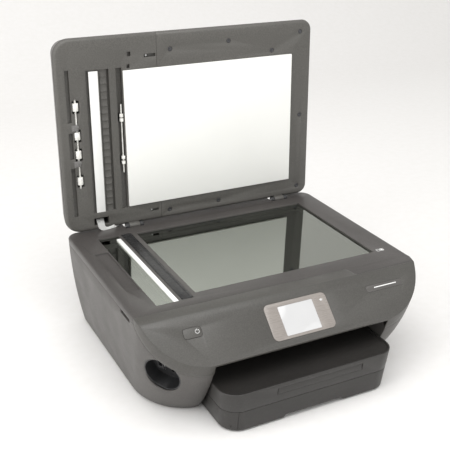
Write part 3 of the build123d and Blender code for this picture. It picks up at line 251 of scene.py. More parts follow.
# ---- finishes ----
def moulded_plastic(name, colour, roughness=0.42, specular=0.5, grain=1.0, rubs=0.0, coat=0.0):
    """Spark-textured moulding: fine dimples, uneven gloss from handling, faint flow marks and rubs."""
    plastic = settings().plastic
    material, tree, shader = new_material(name)
    shader.inputs["Specular IOR Level"].default_value = specular
    shader.inputs["Coat Weight"].default_value = coat
    shader.inputs["Coat Roughness"].default_value = 0.25
    speckle = noise(tree, 0.5 / plastic.grain_size, 1.0)
    clouds = noise(tree, 9.0, 4.0)
    base = mottle(tree, clouds, colour, 0.92, 1.08)
    flecks = ramp(tree, speckle.outputs["Fac"], [(0.35, (0.82, 0.82, 0.82)), (0.7, (1.12, 1.12, 1.12))])
    base = blend_colours(tree, 1.0, base, flecks, "MULTIPLY")
    if rubs:
        hairs = noise(tree, 1.0, 2.0, stretch=(28.0, 900.0, 60.0))
        patches = noise(tree, 16.0, 2.0)
        lines = ramp(tree, hairs.outputs["Fac"], [(0.70, (0, 0, 0)), (0.735, (1, 1, 1))])
        where = ramp(tree, patches.outputs["Fac"], [(0.52, (0, 0, 0)), (0.66, (rubs, rubs, rubs))])
        mask = blend_colours(tree, 1.0, lines, where, "MULTIPLY")
        base = blend_colours(tree, mask, base, shade(colour, 4.0))
    tree.links.new(base, shader.inputs["Base Color"])
    smudges = noise(tree, 23.0, 5.0, roughness=0.62)
    uneven_gloss(tree, shader, smudges, roughness - 0.05, roughness + 0.07)
    dimples = noise(tree, 1.0 / plastic.grain_size, 2.0)
    waves = noise(tree, 34.0, 1.0)
    soft = bump(tree, shader, waves.outputs["Fac"], 0.00012, 0.25)
    bump(tree, shader, dimples.outputs["Fac"], plastic.grain_depth * grain, 0.55, soft)
    return material


def polished_plastic(name, colour, roughness=0.16):
    """Smooth moulding with fine hairline marks in its gloss."""
    material, tree, shader = new_material(name)
    clouds = noise(tree, 40.0, 3.0)
    base = mottle(tree, clouds, colour, 0.94, 1.06)
    tree.links.new(base, shader.inputs["Base Color"])
    hairs = noise(tree, 1.0, 3.0, stretch=(60.0, 1400.0, 60.0))
    uneven_gloss(tree, shader, hairs, roughness - 0.03, roughness + 0.08)
    waves = noise(tree, 60.0, 1.0)
    bump(tree, shader, waves.outputs["Fac"], 0.00005, 0.3)
    return material


def rubber(name, colour, roughness=0.75):
    material, tree, shader = new_material(name)
    shader.inputs["Specular IOR Level"].default_value = 0.35
    dust = noise(tree, 160.0, 5.0)
    base = ramp(tree, dust.outputs["Fac"], [(0.35, shade(colour, 0.85)), (0.72, shade(colour, 1.25))])
    tree.links.new(base, shader.inputs["Base Color"])
    uneven_gloss(tree, shader, dust, roughness - 0.08, roughness + 0.1)
    pores = noise(tree, 1100.0, 2.0)
    bump(tree, shader, pores.outputs["Fac"], 0.00006, 0.6)
    return material


def ground_steel(name, colour, roughness=0.28, along=(40.0, 2200.0, 2200.0)):
    """Ground or rolled steel, with marks along the bar."""
    material, tree, shader = new_material(name)
    shader.inputs["Metallic"].default_value = 1.0
    marks = noise(tree, 1.0, 4.0, stretch=along)
    tarnish = noise(tree, 28.0, 4.0)
    base = ramp(tree, tarnish.outputs["Fac"], [(0.3, shade(colour, 0.86)), (0.75, shade(colour, 1.08))])
    tree.links.new(base, shader.inputs["Base Color"])
    uneven_gloss(tree, shader, marks, roughness - 0.08, roughness + 0.12)
    bump(tree, shader, marks.outputs["Fac"], 0.00001, 0.4)
    return material


def zinc_sheet(name):
    """Zinc-plated sheet with a faint spangle."""
    material, tree, shader = new_material(name)
    shader.inputs["Metallic"].default_value = 1.0
    coordinates = tree.nodes.new("ShaderNodeTexCoord")
    cells = tree.nodes.new("ShaderNodeTexVoronoi")
    cells.inputs["Scale"].default_value = 150.0
    tree.links.new(coordinates.outputs["Object"], cells.inputs["Vector"])
    base = ramp(tree, cells.outputs["Color"], [(0.0, (0.50, 0.51, 0.52)), (1.0, (0.66, 0.67, 0.68))])
    tree.links.new(base, shader.inputs["Base Color"])
    dull = noise(tree, 60.0, 4.0)
    uneven_gloss(tree, shader, dull, 0.30, 0.48)
    bump(tree, shader, dull.outputs["Fac"], 0.00004, 0.3)
    return material


def plate_glass(name, tint=(0.46, 0.50, 0.46), polish=0.012, index=4.2):
    """Float glass seen at a low angle: tinted see-through body under a strong clean reflection."""
    material = bpy.data.materials.new(name)
    material.use_nodes = True
    tree = material.node_tree
    tree.nodes.remove(tree.nodes["Principled BSDF"])
    output = tree.nodes["Material Output"]
    body = tree.nodes.new("ShaderNodeBsdfTransparent")
    haze = noise(tree, 12.0, 3.0)
    tree.links.new(mottle(tree, haze, tint, 0.96, 1.03),
                   body.inputs["Color"])
    shine = tree.nodes.new("ShaderNodeBsdfGlossy")
    shine.inputs["Color"].default_value = (0.93, 0.97, 0.90, 1.0)
    smears = noise(tree, 7.0, 5.0, stretch=(1.0, 3.0, 1.0))
    uneven_gloss(tree, shine, smears, polish, polish + 0.035)
    edge = tree.nodes.new("ShaderNodeFresnel")
    edge.inputs["IOR"].default_value = index
    both = tree.nodes.new("ShaderNodeMixShader")
    tree.links.new(edge.outputs["Fac"], both.inputs["Fac"])
    tree.links.new(body.outputs["BSDF"], both.inputs[1])
    tree.links.new(shine.outputs["BSDF"], both.inputs[2])
    tree.links.new(both.outputs["Shader"], output.inputs["Surface"])
    return material


def display_window(name, colour=(0.50, 0.50, 0.50)):
    """A pale, slightly uneven display behind a glossy window, with a faint painted glow in its emission."""
    material, tree, shader = new_material(name)
    shader.inputs["Roughness"].default_value = 0.10
    shader.inputs["Coat Weight"].default_value = 0.4
    shader.inputs["Coat Roughness"].default_value = 0.05
    clouds = noise(tree, 16.0, 1.0)
    base = mottle(tree, clouds, colour, 0.96, 1.04)
    tree.links.new(base, shader.inputs["Base Color"])
    # painted glow: a faint emission that brightens the display as if it were lit
    painted_glow = ramp(tree, clouds.outputs["Fac"], [(0.3, (0.40, 0.40, 0.42)), (0.7, (0.46, 0.46, 0.47))])
    tree.links.new(painted_glow, shader.inputs["Emission Color"])
    shader.inputs["Emission Strength"].default_value = 0.18
    return material


def film_pad(name, colour=(0.86, 0.86, 0.83)):
    """White film over foam, very slightly uneven."""
    material, tree, shader = new_material(name)
    shader.inputs["Specular IOR Level"].default_value = 0.3
    clouds = noise(tree, 10.0, 3.0)
    base = mottle(tree, clouds, colour, 0.985, 1.01)
    tree.links.new(base, shader.inputs["Base Color"])
    uneven_gloss(tree, shader, clouds, 0.48, 0.6)
    foam = noise(tree, 420.0, 3.0)
    dents = noise(tree, 9.0, 2.0)
    soft = bump(tree, shader, dents.outputs["Fac"], 0.0012, 0.25)
    bump(tree, shader, foam.outputs["Fac"], 0.00004, 0.5, soft)
    return material


def circuit_board(name):
    """Green lacquer with lighter tracks."""
    material, tree, shader = new_material(name)
    coordinates = tree.nodes.new("ShaderNodeTexCoord")
    tracks = tree.nodes.new("ShaderNodeTexBrick")
    tracks.inputs["Scale"].default_value = 130.0
    tracks.inputs["Mortar Size"].default_value = 0.03
    tree.links.new(coordinates.outputs["Object"], tracks.inputs["Vector"])
    tracks.inputs["Color1"].default_value = (0.010, 0.075, 0.035, 1)
    tracks.inputs["Color2"].default_value = (0.012, 0.090, 0.042, 1)
    tracks.inputs["Mortar"].default_value = (0.030, 0.170, 0.080, 1)
    tree.links.new(tracks.outputs["Color"], shader.inputs["Base Color"])
    shader.inputs["Roughness"].default_value = 0.3
    bump(tree, shader, tracks.outputs["Fac"], 0.00005, 0.5)
    return material


def printed_ink(name, colour):
    """A printed layer with slightly uneven cover."""
    material, tree, shader = new_material(name)
    ink = noise(tree, 500.0, 2.0)
    base = mottle(tree, ink, colour, 0.9, 1.08)
    tree.links.new(base, shader.inputs["Base Color"])
    shader.inputs["Roughness"].default_value = 0.45
    return material


def studio_white(name):
    """Seamless pale paper of the studio."""
    material, tree, shader = new_material(name)
    fibre = noise(tree, 60.0, 4.0)
    base = ramp(tree, fibre.outputs["Fac"], [(0.3, (0.80, 0.79, 0.775)), (0.7, (0.82, 0.81, 0.80))])
    tree.links.new(base, shader.inputs["Base Color"])
    shader.inputs["Roughness"].default_value = 0.7
    shader.inputs["Specular IOR Level"].default_value = 0.2
    return material


finishes = {}


def finish(name):
    """The named finish, made the first time that it is asked for."""
    if name in finishes:
        return finishes[name]
    plastic = settings().plastic
    makers = {
        "case": lambda: moulded_plastic("case_moulding", plastic.case_colour, 0.44, 0.55),
        "panel": lambda: moulded_plastic("panel_moulding", plastic.panel_colour, 0.40, 0.55, 1.3),
        "bed": lambda: moulded_plastic("bed_moulding", plastic.bed_colour, 0.36, 0.55, 0.8),
        "pan": lambda: moulded_plastic("pan_moulding", (0.028, 0.028, 0.029), 0.5),
        "tray": lambda: moulded_plastic("tray_moulding", plastic.tray_colour, 0.40, 0.5, 0.9, rubs=0.5),
        "output": lambda: moulded_plastic("output_face", shade(plastic.tray_colour, 0.35), 0.27, 0.45, 0.7,
                                          rubs=0.6),
        "liner": lambda: moulded_plastic("liner_moulding", plastic.liner_colour, 0.45, 0.5, 0.9),
        "guide": lambda: moulded_plastic("guide_moulding", (0.045, 0.045, 0.047), 0.4),
        "carriage": lambda: moulded_plastic("carriage_moulding", (0.035, 0.035, 0.037), 0.42),
        "cartridge": lambda: moulded_plastic("cartridge_moulding", (0.022, 0.022, 0.024), 0.34, 0.5, 0.6),
        "reader": lambda: moulded_plastic("reader_moulding", (0.020, 0.020, 0.021), 0.38, 0.5),
        "channel": lambda: moulded_plastic("channel_moulding", (0.022, 0.022, 0.022), 0.42, 0.4, 0.8),
        "hinge": lambda: moulded_plastic("hinge_moulding", (0.12, 0.115, 0.11), 0.28, 0.5, 0.5),
        "clip": lambda: moulded_plastic("clip_moulding", (0.16, 0.155, 0.15), 0.35, 0.5, 0.4),
        "ink_black": lambda: printed_ink("ink_black", (0.015, 0.015, 0.015)),
        "ink_cyan": lambda: printed_ink("ink_cyan", (0.02, 0.30, 0.55)),
        "ink_magenta": lambda: printed_ink("ink_magenta", (0.55, 0.03, 0.22)),
        "ink_yellow": lambda: printed_ink("ink_yellow", (0.75, 0.55, 0.03)),
        # near-black painted shade for the faces deep in the lid's recesses
        "recess_shade": lambda: moulded_plastic("painted_recess_shade", (0.003, 0.003, 0.003), 0.6, 0.08),
        "divider": lambda: polished_plastic("divider_moulding", (0.016, 0.016, 0.017), 0.24),
        "touch": lambda: polished_plastic("touch_film", (0.26, 0.235, 0.215), 0.26),
        "badge": lambda: polished_plastic("badge_film", (0.085, 0.080, 0.075), 0.3),
        "acetal": lambda: moulded_plastic("acetal", (0.72, 0.70, 0.63), 0.35, 0.5, 0.3),
        "black_rubber": lambda: rubber("roller_rubber", (0.030, 0.030, 0.031)),
        "pale_rubber": lambda: rubber("pale_feed_rubber", (0.80, 0.79, 0.75), 0.6),
        "foot_rubber": lambda: rubber("foot_rubber", (0.020, 0.020, 0.020)),
        "belt": lambda: rubber("belt_rubber", (0.022, 0.022, 0.022), 0.6),
        "steel": lambda: ground_steel("ground_bar", (0.60, 0.60, 0.61)),
        "motor": lambda: ground_steel("drawn_can", (0.48, 0.49, 0.50), 0.34, (700.0, 700.0, 90.0)),
        "screw": lambda: ground_steel("blackened_screw", (0.10, 0.10, 0.105), 0.36, (700.0, 700.0, 700.0)),
        "bright_screw": lambda: ground_steel("bright_screw", (0.42, 0.42, 0.42), 0.3, (700.0, 700.0, 700.0)),
        "zinc": lambda: zinc_sheet("zinc_sheet"),
        "glass": lambda: plate_glass("plate_glass"),
        "display": lambda: display_window("display_window"),
        "white_film": lambda: film_pad("white_film", (0.84, 0.84, 0.82)),
        "pad": lambda: film_pad("pad_film"),
        "board": lambda: circuit_board("circuit_board"),
        "print": lambda: printed_ink("printed_marks", (0.75, 0.75, 0.74)),
        "contact": lambda: ground_steel("gold_contact", (0.75, 0.58, 0.26), 0.25, (300.0, 300.0, 300.0)),
    }
    finishes[name] = makers[name]()
    return finishes[name]


# ---- mesh helpers ----
def add_piece(name, mesh, body, material):
    piece = bpy.data.objects.new(name, mesh)
    bpy.context.scene.collection.objects.link(piece)
    piece.data.materials.clear()
    piece.data.materials.append(finish(material))
    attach(piece, body)
    return piece


def finished_mesh(name, work, sharp=None):
    """A smooth mesh of the edited geometry, creased where its faces turn more than an angle in degrees."""
    mesh = bpy.data.meshes.new(name)
    work.to_mesh(mesh)
    work.free()
    for polygon in mesh.polygons:
        polygon.use_smooth = True
    if sharp:
        mesh.set_sharp_from_angle(angle=math.radians(sharp))
    return mesh


def dress(node, material):
    """Give a CAD node a finish of its own, as it stands."""
    piece = nodes[node]
    piece.data.materials.clear()
    piece.data.materials.append(finish(material))
    return piece


def rounded_copy(node, material, radius, wide=None, parts=()):
    """The node's own shape with its sharp edges rounded, which stands for the node.

    wide is (test, radius, steps) for edges that get a larger radius, where test reads the middle of an edge.
    parts is a list of (material, test) for faces with another finish, where test reads a face's middle and
    normal.
    """
    mesh = nodes[node].data.copy()
    work = bmesh.new()
    work.from_mesh(mesh)
    bmesh.ops.remove_doubles(work, verts=work.verts, dist=MERGE)
    bmesh.ops.dissolve_limit(work, angle_limit=FLAT_ANGLE, verts=work.verts, edges=work.edges)
    if wide:
        test, wide_radius, wide_steps = wide
        chosen = [e for e in sharp_edges(work) if test((e.verts[0].co + e.verts[1].co) / 2)]
        bmesh.ops.bevel(work, geom=chosen, offset=wide_radius, segments=wide_steps, profile=0.5,
                        affect="EDGES", clamp_overlap=False)
    bmesh.ops.bevel(work, geom=sharp_edges(work), offset=radius, segments=settings().edge.edge_steps,
                    profile=0.5, affect="EDGES", clamp_overlap=False)
    for face in work.faces:
        face.smooth = True
        middle = face.calc_center_median()
        for index, (_, test) in enumerate(parts):
            if test(middle, face.normal):
                face.material_index = index + 1
    work.to_mesh(mesh)
    work.free()
    mesh.set_sharp_from_angle(angle=math.radians(38))
    piece = add_piece(node + "_moulding", mesh, nodes[node]["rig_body"], material)
    for other, _ in parts:
        mesh.materials.append(finish(other))
    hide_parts(node)
    return piece


def sharp_edges(work):
    return [e for e in work.edges if e.is_manifold and e.calc_face_angle(0.0) > SHARP_EDGE]


def face_frame(node, up):
    """Middle, normal and cross directions of a node's largest face that looks towards a direction."""
    mesh = nodes[node].data
    facing = [f for f in mesh.polygons if f.normal.dot(up) > 0.9]
    normal = sum((f.normal * f.area for f in facing), Vector()).normalized()
    low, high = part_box(node)
    middle = (low + high) / 2
    height = max(v.co.dot(normal) for v in mesh.vertices)
    middle += normal * (height - middle.dot(normal))
    across = Vector((1.0, 0.0, 0.0))
    return middle, across, normal.cross(across).normalized(), normal


def flat_mark(name, plane, outlines, thick, body, material):
    """A thin printed mark: closed outlines given as points on a plane, raised by its thickness."""
    middle, across, along, normal = plane
    work = bmesh.new()
    for outline in outlines:
        low = [work.verts.new(middle + across * x * MM + along * y * MM) for x, y in outline]
        high = [work.verts.new(v.co + normal * thick) for v in low]
        work.faces.new(high)
        for k in range(len(low)):
            after = (k + 1) % len(low)
            work.faces.new((low[k], low[after], high[after], high[k]))
    bmesh.ops.recalc_face_normals(work, faces=work.faces)
    mesh = bpy.data.meshes.new(name)
    work.to_mesh(mesh)
    work.free()
    return add_piece(name, mesh, body, material)


def arc_band(radius, width, start, end, steps=28):
    """Outline of a band along an arc, angles in degrees."""
    turns = [math.radians(start + (end - start) * k / steps) for k in range(steps + 1)]
    far, near = radius + width / 2, radius - width / 2
    outer = [(far * math.cos(t), far * math.sin(t)) for t in turns]
    inner = [(near * math.cos(t), near * math.sin(t)) for t in reversed(turns)]
    return outer + inner


def bar_outline(x, y, width, height):
    return [(x - width / 2, y - height / 2), (x + width / 2, y - height / 2),
            (x + width / 2, y + height / 2), (x - width / 2, y + height / 2)]


def frame_outlines(x, y, width, height, line):
    """Four bars round a rectangle."""
    return [bar_outline(x, y - height / 2, width, line), bar_outline(x, y + height / 2, width, line),
            bar_outline(x - width / 2, y, line, height - line),
            bar_outline(x + width / 2, y, line, height - line)]


def soft_box(name, low, high, radius, body, material, place=None, steps=3):
    """A small moulded block with rounded edges, given by its corners in metres."""
    work = bmesh.new()
    bmesh.ops.create_cube(work, size=1.0)
    for v in work.verts:
        for axis in range(3):
            v.co[axis] = high[axis] if v.co[axis] > 0 else low[axis]
    bmesh.ops.bevel(work, geom=list(work.edges), offset=radius, segments=steps, profile=0.5, affect="EDGES")
    if place:
        work.transform(place)
    return add_piece(name, finished_mesh(name, work, 50), body, material)


def turned(name, profile, steps, place, body, material):
    """A turned piece: a profile of (radius, height) points in metres round a local Z axis."""
    work = bmesh.new()
    rings = []
    for radius, height in profile:
        ring = []
        for k in range(steps):
            turn = 2 * math.pi * k / steps
            ring.append(work.verts.new((radius * math.cos(turn), radius * math.sin(turn), height)))
        rings.append(ring)
    for lower, upper in zip(rings, rings[1:]):
        for k in range(steps):
            after = (k + 1) % steps
            work.faces.new((lower[k], lower[after], upper[after], upper[k]))
    work.faces.new(list(reversed(rings[0])))
    work.faces.new(rings[-1])
    work.transform(place)
    bmesh.ops.recalc_face_normals(work, faces=work.faces)
    return add_piece(name, finished_mesh(name, work, 35), body, material)


# ---- places worked out from the frame ----
def joint(name):
    return next(j for j in frame["joints"] if j["name"] == name)


def lid_motion():
    """The matrix that closes the lid."""
    hinge = joint("lid_hinge")
    pivot = Vector(hinge["pos_m"])
    turn = Matrix.Rotation(math.radians(hinge["range_deg"][1]), 4, Vector(hinge["axis"]))
    return Matrix.Translation(pivot) @ turn @ Matrix.Translation(-pivot)


CLOSE = lid_motion()
OPEN = CLOSE.inverted()
HINGE = Vector(joint("lid_hinge")["pos_m"])
SCREW_SINK = 0.0004           # depth of the lid's screw heads under its inner face


def closed_box(node):
    """A lid node's box with the lid closed."""
    places = [CLOSE @ v.co for v in nodes[node].data.vertices]
    low = Vector([min(p[axis] for p in places) for axis in range(3)])
    high = Vector([max(p[axis] for p in places) for axis in range(3)])
    return low, high


def lid_face():
    """Height of the lid's inner face with the lid closed, from the screw heads that are sunk into it."""
    return closed_box("lid_screws")[0].z - SCREW_SINK


def under_lid(depth):
    """A face test: deeper than this into the lid from its inner face."""
    level = lid_face() + depth
    return lambda middle, normal: (CLOSE @ middle).z > level and (CLOSE.to_3x3() @ normal).z < 0.7


# ---- places and sizes that the frame does not state, in metres ----
BOARD_RISE = 0.0215           # top of the board's laminate over the feet of its posts
INLET_X, INLET_Z = -0.160, 0.032
PIN_APART = 0.010             # distance between the two pins of the inlet
PIN_RADIUS = 0.00125
PIN_LENGTH = 0.0086
PIN_ROOT = 0.0098             # the pins start this far inside the back of the socket
RECESS_MIDDLE = Vector((-0.2007, -0.1494, 0.0788))
RECESS_INWARD = Vector((0.737, 0.591, 0.328))
RECESS_ALONG = Vector((-0.625, 0.78, 0.0))
RECESS_DEPTH = 0.0205
CONTACT_COUNT = 6
CONTACT_PITCH = 0.0026
CLIP_PLACES = (0.176, 0.118)  # distances of the shaft clips from the lid's hinge line
WINDOW_X = -0.0795            # screws in the two windows beside the seam
WINDOW_PLACES = (("far", 0.2775), ("near", 0.0205))
GLASS_LAP = 0.005             # how far the glass reaches under its frame
CAMERA_PLACE = (-0.563, -1.027, 0.715)
CAMERA_ANGLES = (27.37, -23.68, 0.79)      # azimuth, elevation and roll in degrees


# ---- the pieces ----
class PRINTER_OT_case(bpy.types.Operator):
    """Lower case with the card reader in its corner, the rear sockets and the feet"""
    bl_idname = "printer.case"
    bl_label = "Case"

    def execute(self, context):
        edge = settings().edge
        rounded_copy("lower_case", "case", edge.fine_edge)
        rounded_copy("card_reader", "reader", edge.fine_edge)
        rounded_copy("rubber_feet", "foot_rubber", edge.moulded_edge)
        rounded_copy("power_supply", "pan", edge.fine_edge)
        laminate_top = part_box("main_board")[0].z + BOARD_RISE
        laminate = lambda middle, normal: middle.z < laminate_top
        rounded_copy("main_board", "zinc", edge.sheet_edge, parts=[("board", laminate)])
        make_inlet_pins()
        make_card_contacts()
        return {"FINISHED"}


def make_inlet_pins():
    """Two round pins in the mains inlet."""
    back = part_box("power_supply")[1].y
    profile = [(PIN_RADIUS, 0.0), (PIN_RADIUS, PIN_LENGTH - 0.0008), (0.0007, PIN_LENGTH)]
    upright = Matrix.Rotation(math.radians(-90), 4, "X")
    for name, side in (("left", -1), ("right", 1)):
        place = Matrix.Translation((INLET_X + side * PIN_APART / 2, back - PIN_ROOT, INLET_Z)) @ upright
        turned(f"inlet_pin_{name}", profile, 20, place, "base", "steel")


def make_card_contacts():
    """Row of sprung contacts behind the card slots, and the steel shell of the data socket."""
    inward = RECESS_INWARD.normalized()
    along = RECESS_ALONG.normalized()
    across = inward.cross(along).normalized()
    turn = Matrix((along, across, inward)).transposed().to_4x4()
    seat = RECESS_MIDDLE + inward * RECESS_DEPTH
    for k in range(CONTACT_COUNT):
        spot = seat + across * (-0.006 + CONTACT_PITCH * k) + along * -0.011
        soft_box(f"card_contact_{k + 1}", (-0.0022, -0.0006, -0.0003), (0.0022, 0.0006, 0.0003), 0.0001,
                 "base", "contact", Matrix.Translation(spot) @ turn, 1)
    shell = seat + along * 0.0095 + across * -0.003
    for k, (low_x, high_x) in enumerate(((-0.0052, -0.0045), (0.0045, 0.0052))):
        soft_box(f"socket_shell_{k + 1}", (low_x, -0.0066, -0.004), (high_x, 0.0066, 0.0005), 0.0001,
                 "base", "steel", Matrix.Translation(shell) @ turn, 1)


class PRINTER_OT_control_panel(bpy.types.Operator):
    """Sloping control panel with its name plate and power key"""
    bl_idname = "printer.control_panel"
    bl_label = "Control panel"

    def execute(self, context):
        edge = settings().edge
        rounded_copy("control_panel", "panel", edge.fine_edge)
        rounded_copy("power_button", "panel", edge.fine_edge)
        rounded_copy("panel_badge", "badge", edge.sheet_edge)
        make_power_mark()
        plate = face_frame("panel_badge", Vector((0, -0.6, 0.7)))
        flat_mark("badge_line", plate, [bar_outline(2.0, 0.4, 40.0, 1.5)], BADGE_LINE_THICK,
                  "base", "print")
        return {"FINISHED"}


def make_power_mark():
    """Plain power sign at the right end of the power key."""
    middle, across, along, normal = face_frame("power_button", Vector((0, -0.6, 0.7)))
    spot = middle + across * 0.0070 + along * 0.0005
    ring = arc_band(2.9, 0.55, 118, 422)
    stroke = bar_outline(0.0, 2.3, 0.6, 2.6)
    flat_mark("power_mark", (spot, across, along, normal), [ring, stroke], INK_THICK,
              "power_key", "print")


class PRINTER_OT_touch_panel(bpy.types.Operator):
    """Touch panel, its display window and the signal light"""
    bl_idname = "printer.touch_panel"
    bl_label = "Touch panel"

    def execute(self, context):
        edge = settings().edge
        rounded_copy("touch_bezel", "touch", edge.fine_edge)
        rounded_copy("touch_screen", "display", edge.sheet_edge)
        make_signal_mark()
        return {"FINISHED"}


def make_signal_mark():
    """Small fan of arcs beside the signal light."""
    middle, across, along, normal = face_frame("touch_bezel", Vector((0, -0.6, 0.7)))
    spot = middle + across * 0.0413 + along * 0.0132
    arcs = [arc_band(radius, 0.4, 48, 132, 12) for radius in (2.2, 3.2, 4.2)]
    flat_mark("signal_mark", (spot, across, along, normal), arcs, INK_THICK, "base", "print")


class PRINTER_OT_paper_trays(bpy.types.Operator):
    """Main paper tray with its front plate, the output tray and its pull-out arm"""
    bl_idname = "printer.paper_trays"
    bl_label = "Paper trays"

    def execute(self, context):
        edge = settings().edge
        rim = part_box("output_tray")[1].z
        face = lambda middle, normal: normal.z > 0.6 and middle.z < rim - 0.001
        rounded_copy("main_tray", "tray", edge.fine_edge)
        rounded_copy("tray_front", "tray", edge.fine_edge)
        rounded_copy("output_tray", "tray", edge.moulded_edge, parts=[("output", face)])
        rounded_copy("output_extender", "tray", edge.fine_edge)
        return {"FINISHED"}


class PRINTER_OT_paper_guides(bpy.types.Operator):
    """Width and length guides of the paper tray"""
    bl_idname = "printer.paper_guides"
    bl_label = "Paper guides"

    def execute(self, context):
        for node in ("left_paper_guide", "right_paper_guide", "paper_length_guide"):
            rounded_copy(node, "guide", settings().edge.fine_edge)
        return {"FINISHED"}


class PRINTER_OT_print_mechanism(bpy.types.Operator):
    """Frame, rod, belt, motors and rollers of the print mechanism"""
    bl_idname = "printer.print_mechanism"
    bl_label = "Print mechanism"

    def execute(self, context):
        edge = settings().edge
        for node, material, radius in (
            ("mechanism_frame", "zinc", edge.sheet_edge),
            ("platen", "guide", edge.sheet_edge),
            ("service_station", "guide", edge.fine_edge),
            ("paper_chute", "guide", edge.fine_edge),
            ("pick_arm", "guide", edge.fine_edge),
            ("pick_roller", "black_rubber", edge.sheet_edge),
            ("pick_bracket", "steel", edge.sheet_edge),
            ("turn_roller", "black_rubber", edge.fine_edge),
            ("drive_motors", "motor", edge.fine_edge),
            ("carriage_rod", "steel", edge.sheet_edge),
            ("motor_pulley", "acetal", edge.sheet_edge),
            ("idler_pulley", "acetal", edge.sheet_edge),
        ):
            rounded_copy(node, material, radius)
        for node, material in (("idler_gear", "acetal"), ("feed_pinion", "acetal"), ("carriage_belt", "belt"),
                               ("encoder_strip", "badge")):
            dress(node, material)
        for node, line in (("feed_roller", "line_feed_spin"), ("exit_roller", "output_roller_spin")):
            dress_roller(node, line)
        return {"FINISHED"}


def dress_roller(node, line):
    """Rubber on the tyres, steel on the shaft and acetal on the gear of a driven roller."""
    hinge = joint(line)
    pivot = Vector(hinge["pos_m"])
    piece = nodes[node]
    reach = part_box(node)[0].x + 0.009
    piece.data.materials.clear()
    for material in ("black_rubber", "steel", "acetal"):
        piece.data.materials.append(finish(material))
    for polygon in piece.data.polygons:
        away = polygon.center - pivot
        if polygon.center.x < reach and math.hypot(away.y, away.z) > 0.0035:
            polygon.material_index = 2
        elif math.hypot(away.y, away.z) < 0.0032:
            polygon.material_index = 1
        else:
            polygon.material_index = 0


class PRINTER_OT_cartridges(bpy.types.Operator):
    """Print carriage with its two ink cartridges and their plain colour labels"""
    bl_idname = "printer.cartridges"
    bl_label = "Carriage and cartridges"

    def execute(self, context):
        edge = settings().edge
        rounded_copy("print_carriage", "carriage", edge.fine_edge)
        rounded_copy("colour_cartridge", "cartridge", edge.fine_edge)
        rounded_copy("black_cartridge", "cartridge", edge.fine_edge)
        make_labels()
        return {"FINISHED"}


def make_labels():
    """Colour bands on the top of each cartridge."""
    for node, bands in (("colour_cartridge", ("ink_cyan", "ink_magenta", "ink_yellow")),
                        ("black_cartridge", ("ink_black",))):
        low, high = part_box(node)
        middle = Vector(((low.x + high.x) / 2, low.y + 0.036, high.z))
        width = 26.0 / len(bands)
        for k, band in enumerate(bands):
            x = -13.0 + width * (k + 0.5)
            flat_mark(f"{node}_{band}", (middle, Vector((1, 0, 0)), Vector((0, 1, 0)), Vector((0, 0, 1))),
                      [bar_outline(x, 0.0, width - 0.4, 34.0)], LABEL_THICK, "carriage", band)


class PRINTER_OT_scanner_bed(bpy.types.Operator):
    """Frame and pan of the scanner, with the divider, the white strip and the printed marks"""
    bl_idname = "printer.scanner_bed"
    bl_label = "Scanner bed"

    def execute(self, context):
        edge = settings().edge
        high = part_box("scanner_bezel")[1]
        inset = 0.012

        def outer_rim(spot):
            aside = abs(spot.x) > high.x - inset or spot.y > high.y - inset
            return spot.z > high.z - 0.0005 and aside

        rounded_copy("scanner_bezel", "bed", edge.fine_edge, wide=(outer_rim, 0.0026, 5))
        rounded_copy("scanner_pan", "pan", edge.fine_edge, parts=[("hinge", beside_hinge)])
        rounded_copy("feeder_divider", "divider", edge.fine_edge)
        rounded_copy("calibration_strip", "white_film", edge.sheet_edge)
        rounded_copy("scan_bar", "carriage", edge.fine_edge)
        rounded_copy("scan_rail", "steel", edge.sheet_edge)
        rounded_copy("lid_hinge_pins", "steel", edge.sheet_edge)
        make_bed_marks()
        make_scan_window()
        return {"FINISHED"}


def beside_hinge(middle, normal):
    """A face test: the ears that stand up beside the lid's hinges."""
    return middle.z > HINGE.z - 0.003 and middle.y > HINGE.y - 0.007


def make_bed_marks():
    """Generic page sign at the origin corner, and paper-size ticks along the glass."""
    glass_low, glass_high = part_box("flatbed_glass")
    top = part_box("scanner_bezel")[1].z
    right, ahead, up = Vector((1, 0, 0)), Vector((0, 1, 0)), Vector((0, 0, 1))
    corner = Vector((glass_high.x - GLASS_LAP + 0.0135, glass_low.y + GLASS_LAP + 0.0015, top))
    page = frame_outlines(-3.4, 0.0, 5.0, 6.0, 0.9) + frame_outlines(3.4, 0.0, 5.0, 6.0, 0.9)
    page += [bar_outline(3.4, 0.0, 3.2, 3.6)]
    flat_mark("page_mark", (corner, right, ahead, up), page, INK_THICK, "scanner_unit", "print")
    edge = Vector((glass_low.x + GLASS_LAP, glass_low.y + GLASS_LAP, top))
    ticks = [bar_outline(6.0 + 2.2 * k, -1.6, 1.2, 0.6) for k in range(4)]
    ticks += [bar_outline(22.0 + 2.2 * k, -1.6, 1.2, 0.6) for k in range(5)]
    flat_mark("size_ticks", (edge, right, ahead, up), ticks, INK_THICK, "scanner_unit",
              "ink_black")


def make_scan_window():
    """Clear lens rod and its lamp along the top of the scan bar, as one box in the display finish with its
    faint painted glow.
    """
    low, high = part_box("scan_bar")
    middle = (low.x + high.x) / 2
    # the display finish makes the lens glow faintly: painted light
    soft_box("scan_lens", (middle - 0.0035, low.y + 0.006, high.z - 0.0013),
             (middle - 0.0010, high.y - 0.006, high.z - 0.0004), 0.0004, "scan_sensor", "display")


class PRINTER_OT_glass(bpy.types.Operator):
    """Flatbed glass and the narrow glass of the feeder"""
    bl_idname = "printer.glass"
    bl_label = "Glass"

    def execute(self, context):
        for node in ("flatbed_glass", "feeder_glass"):
            dress(node, "glass")
        return {"FINISHED"}


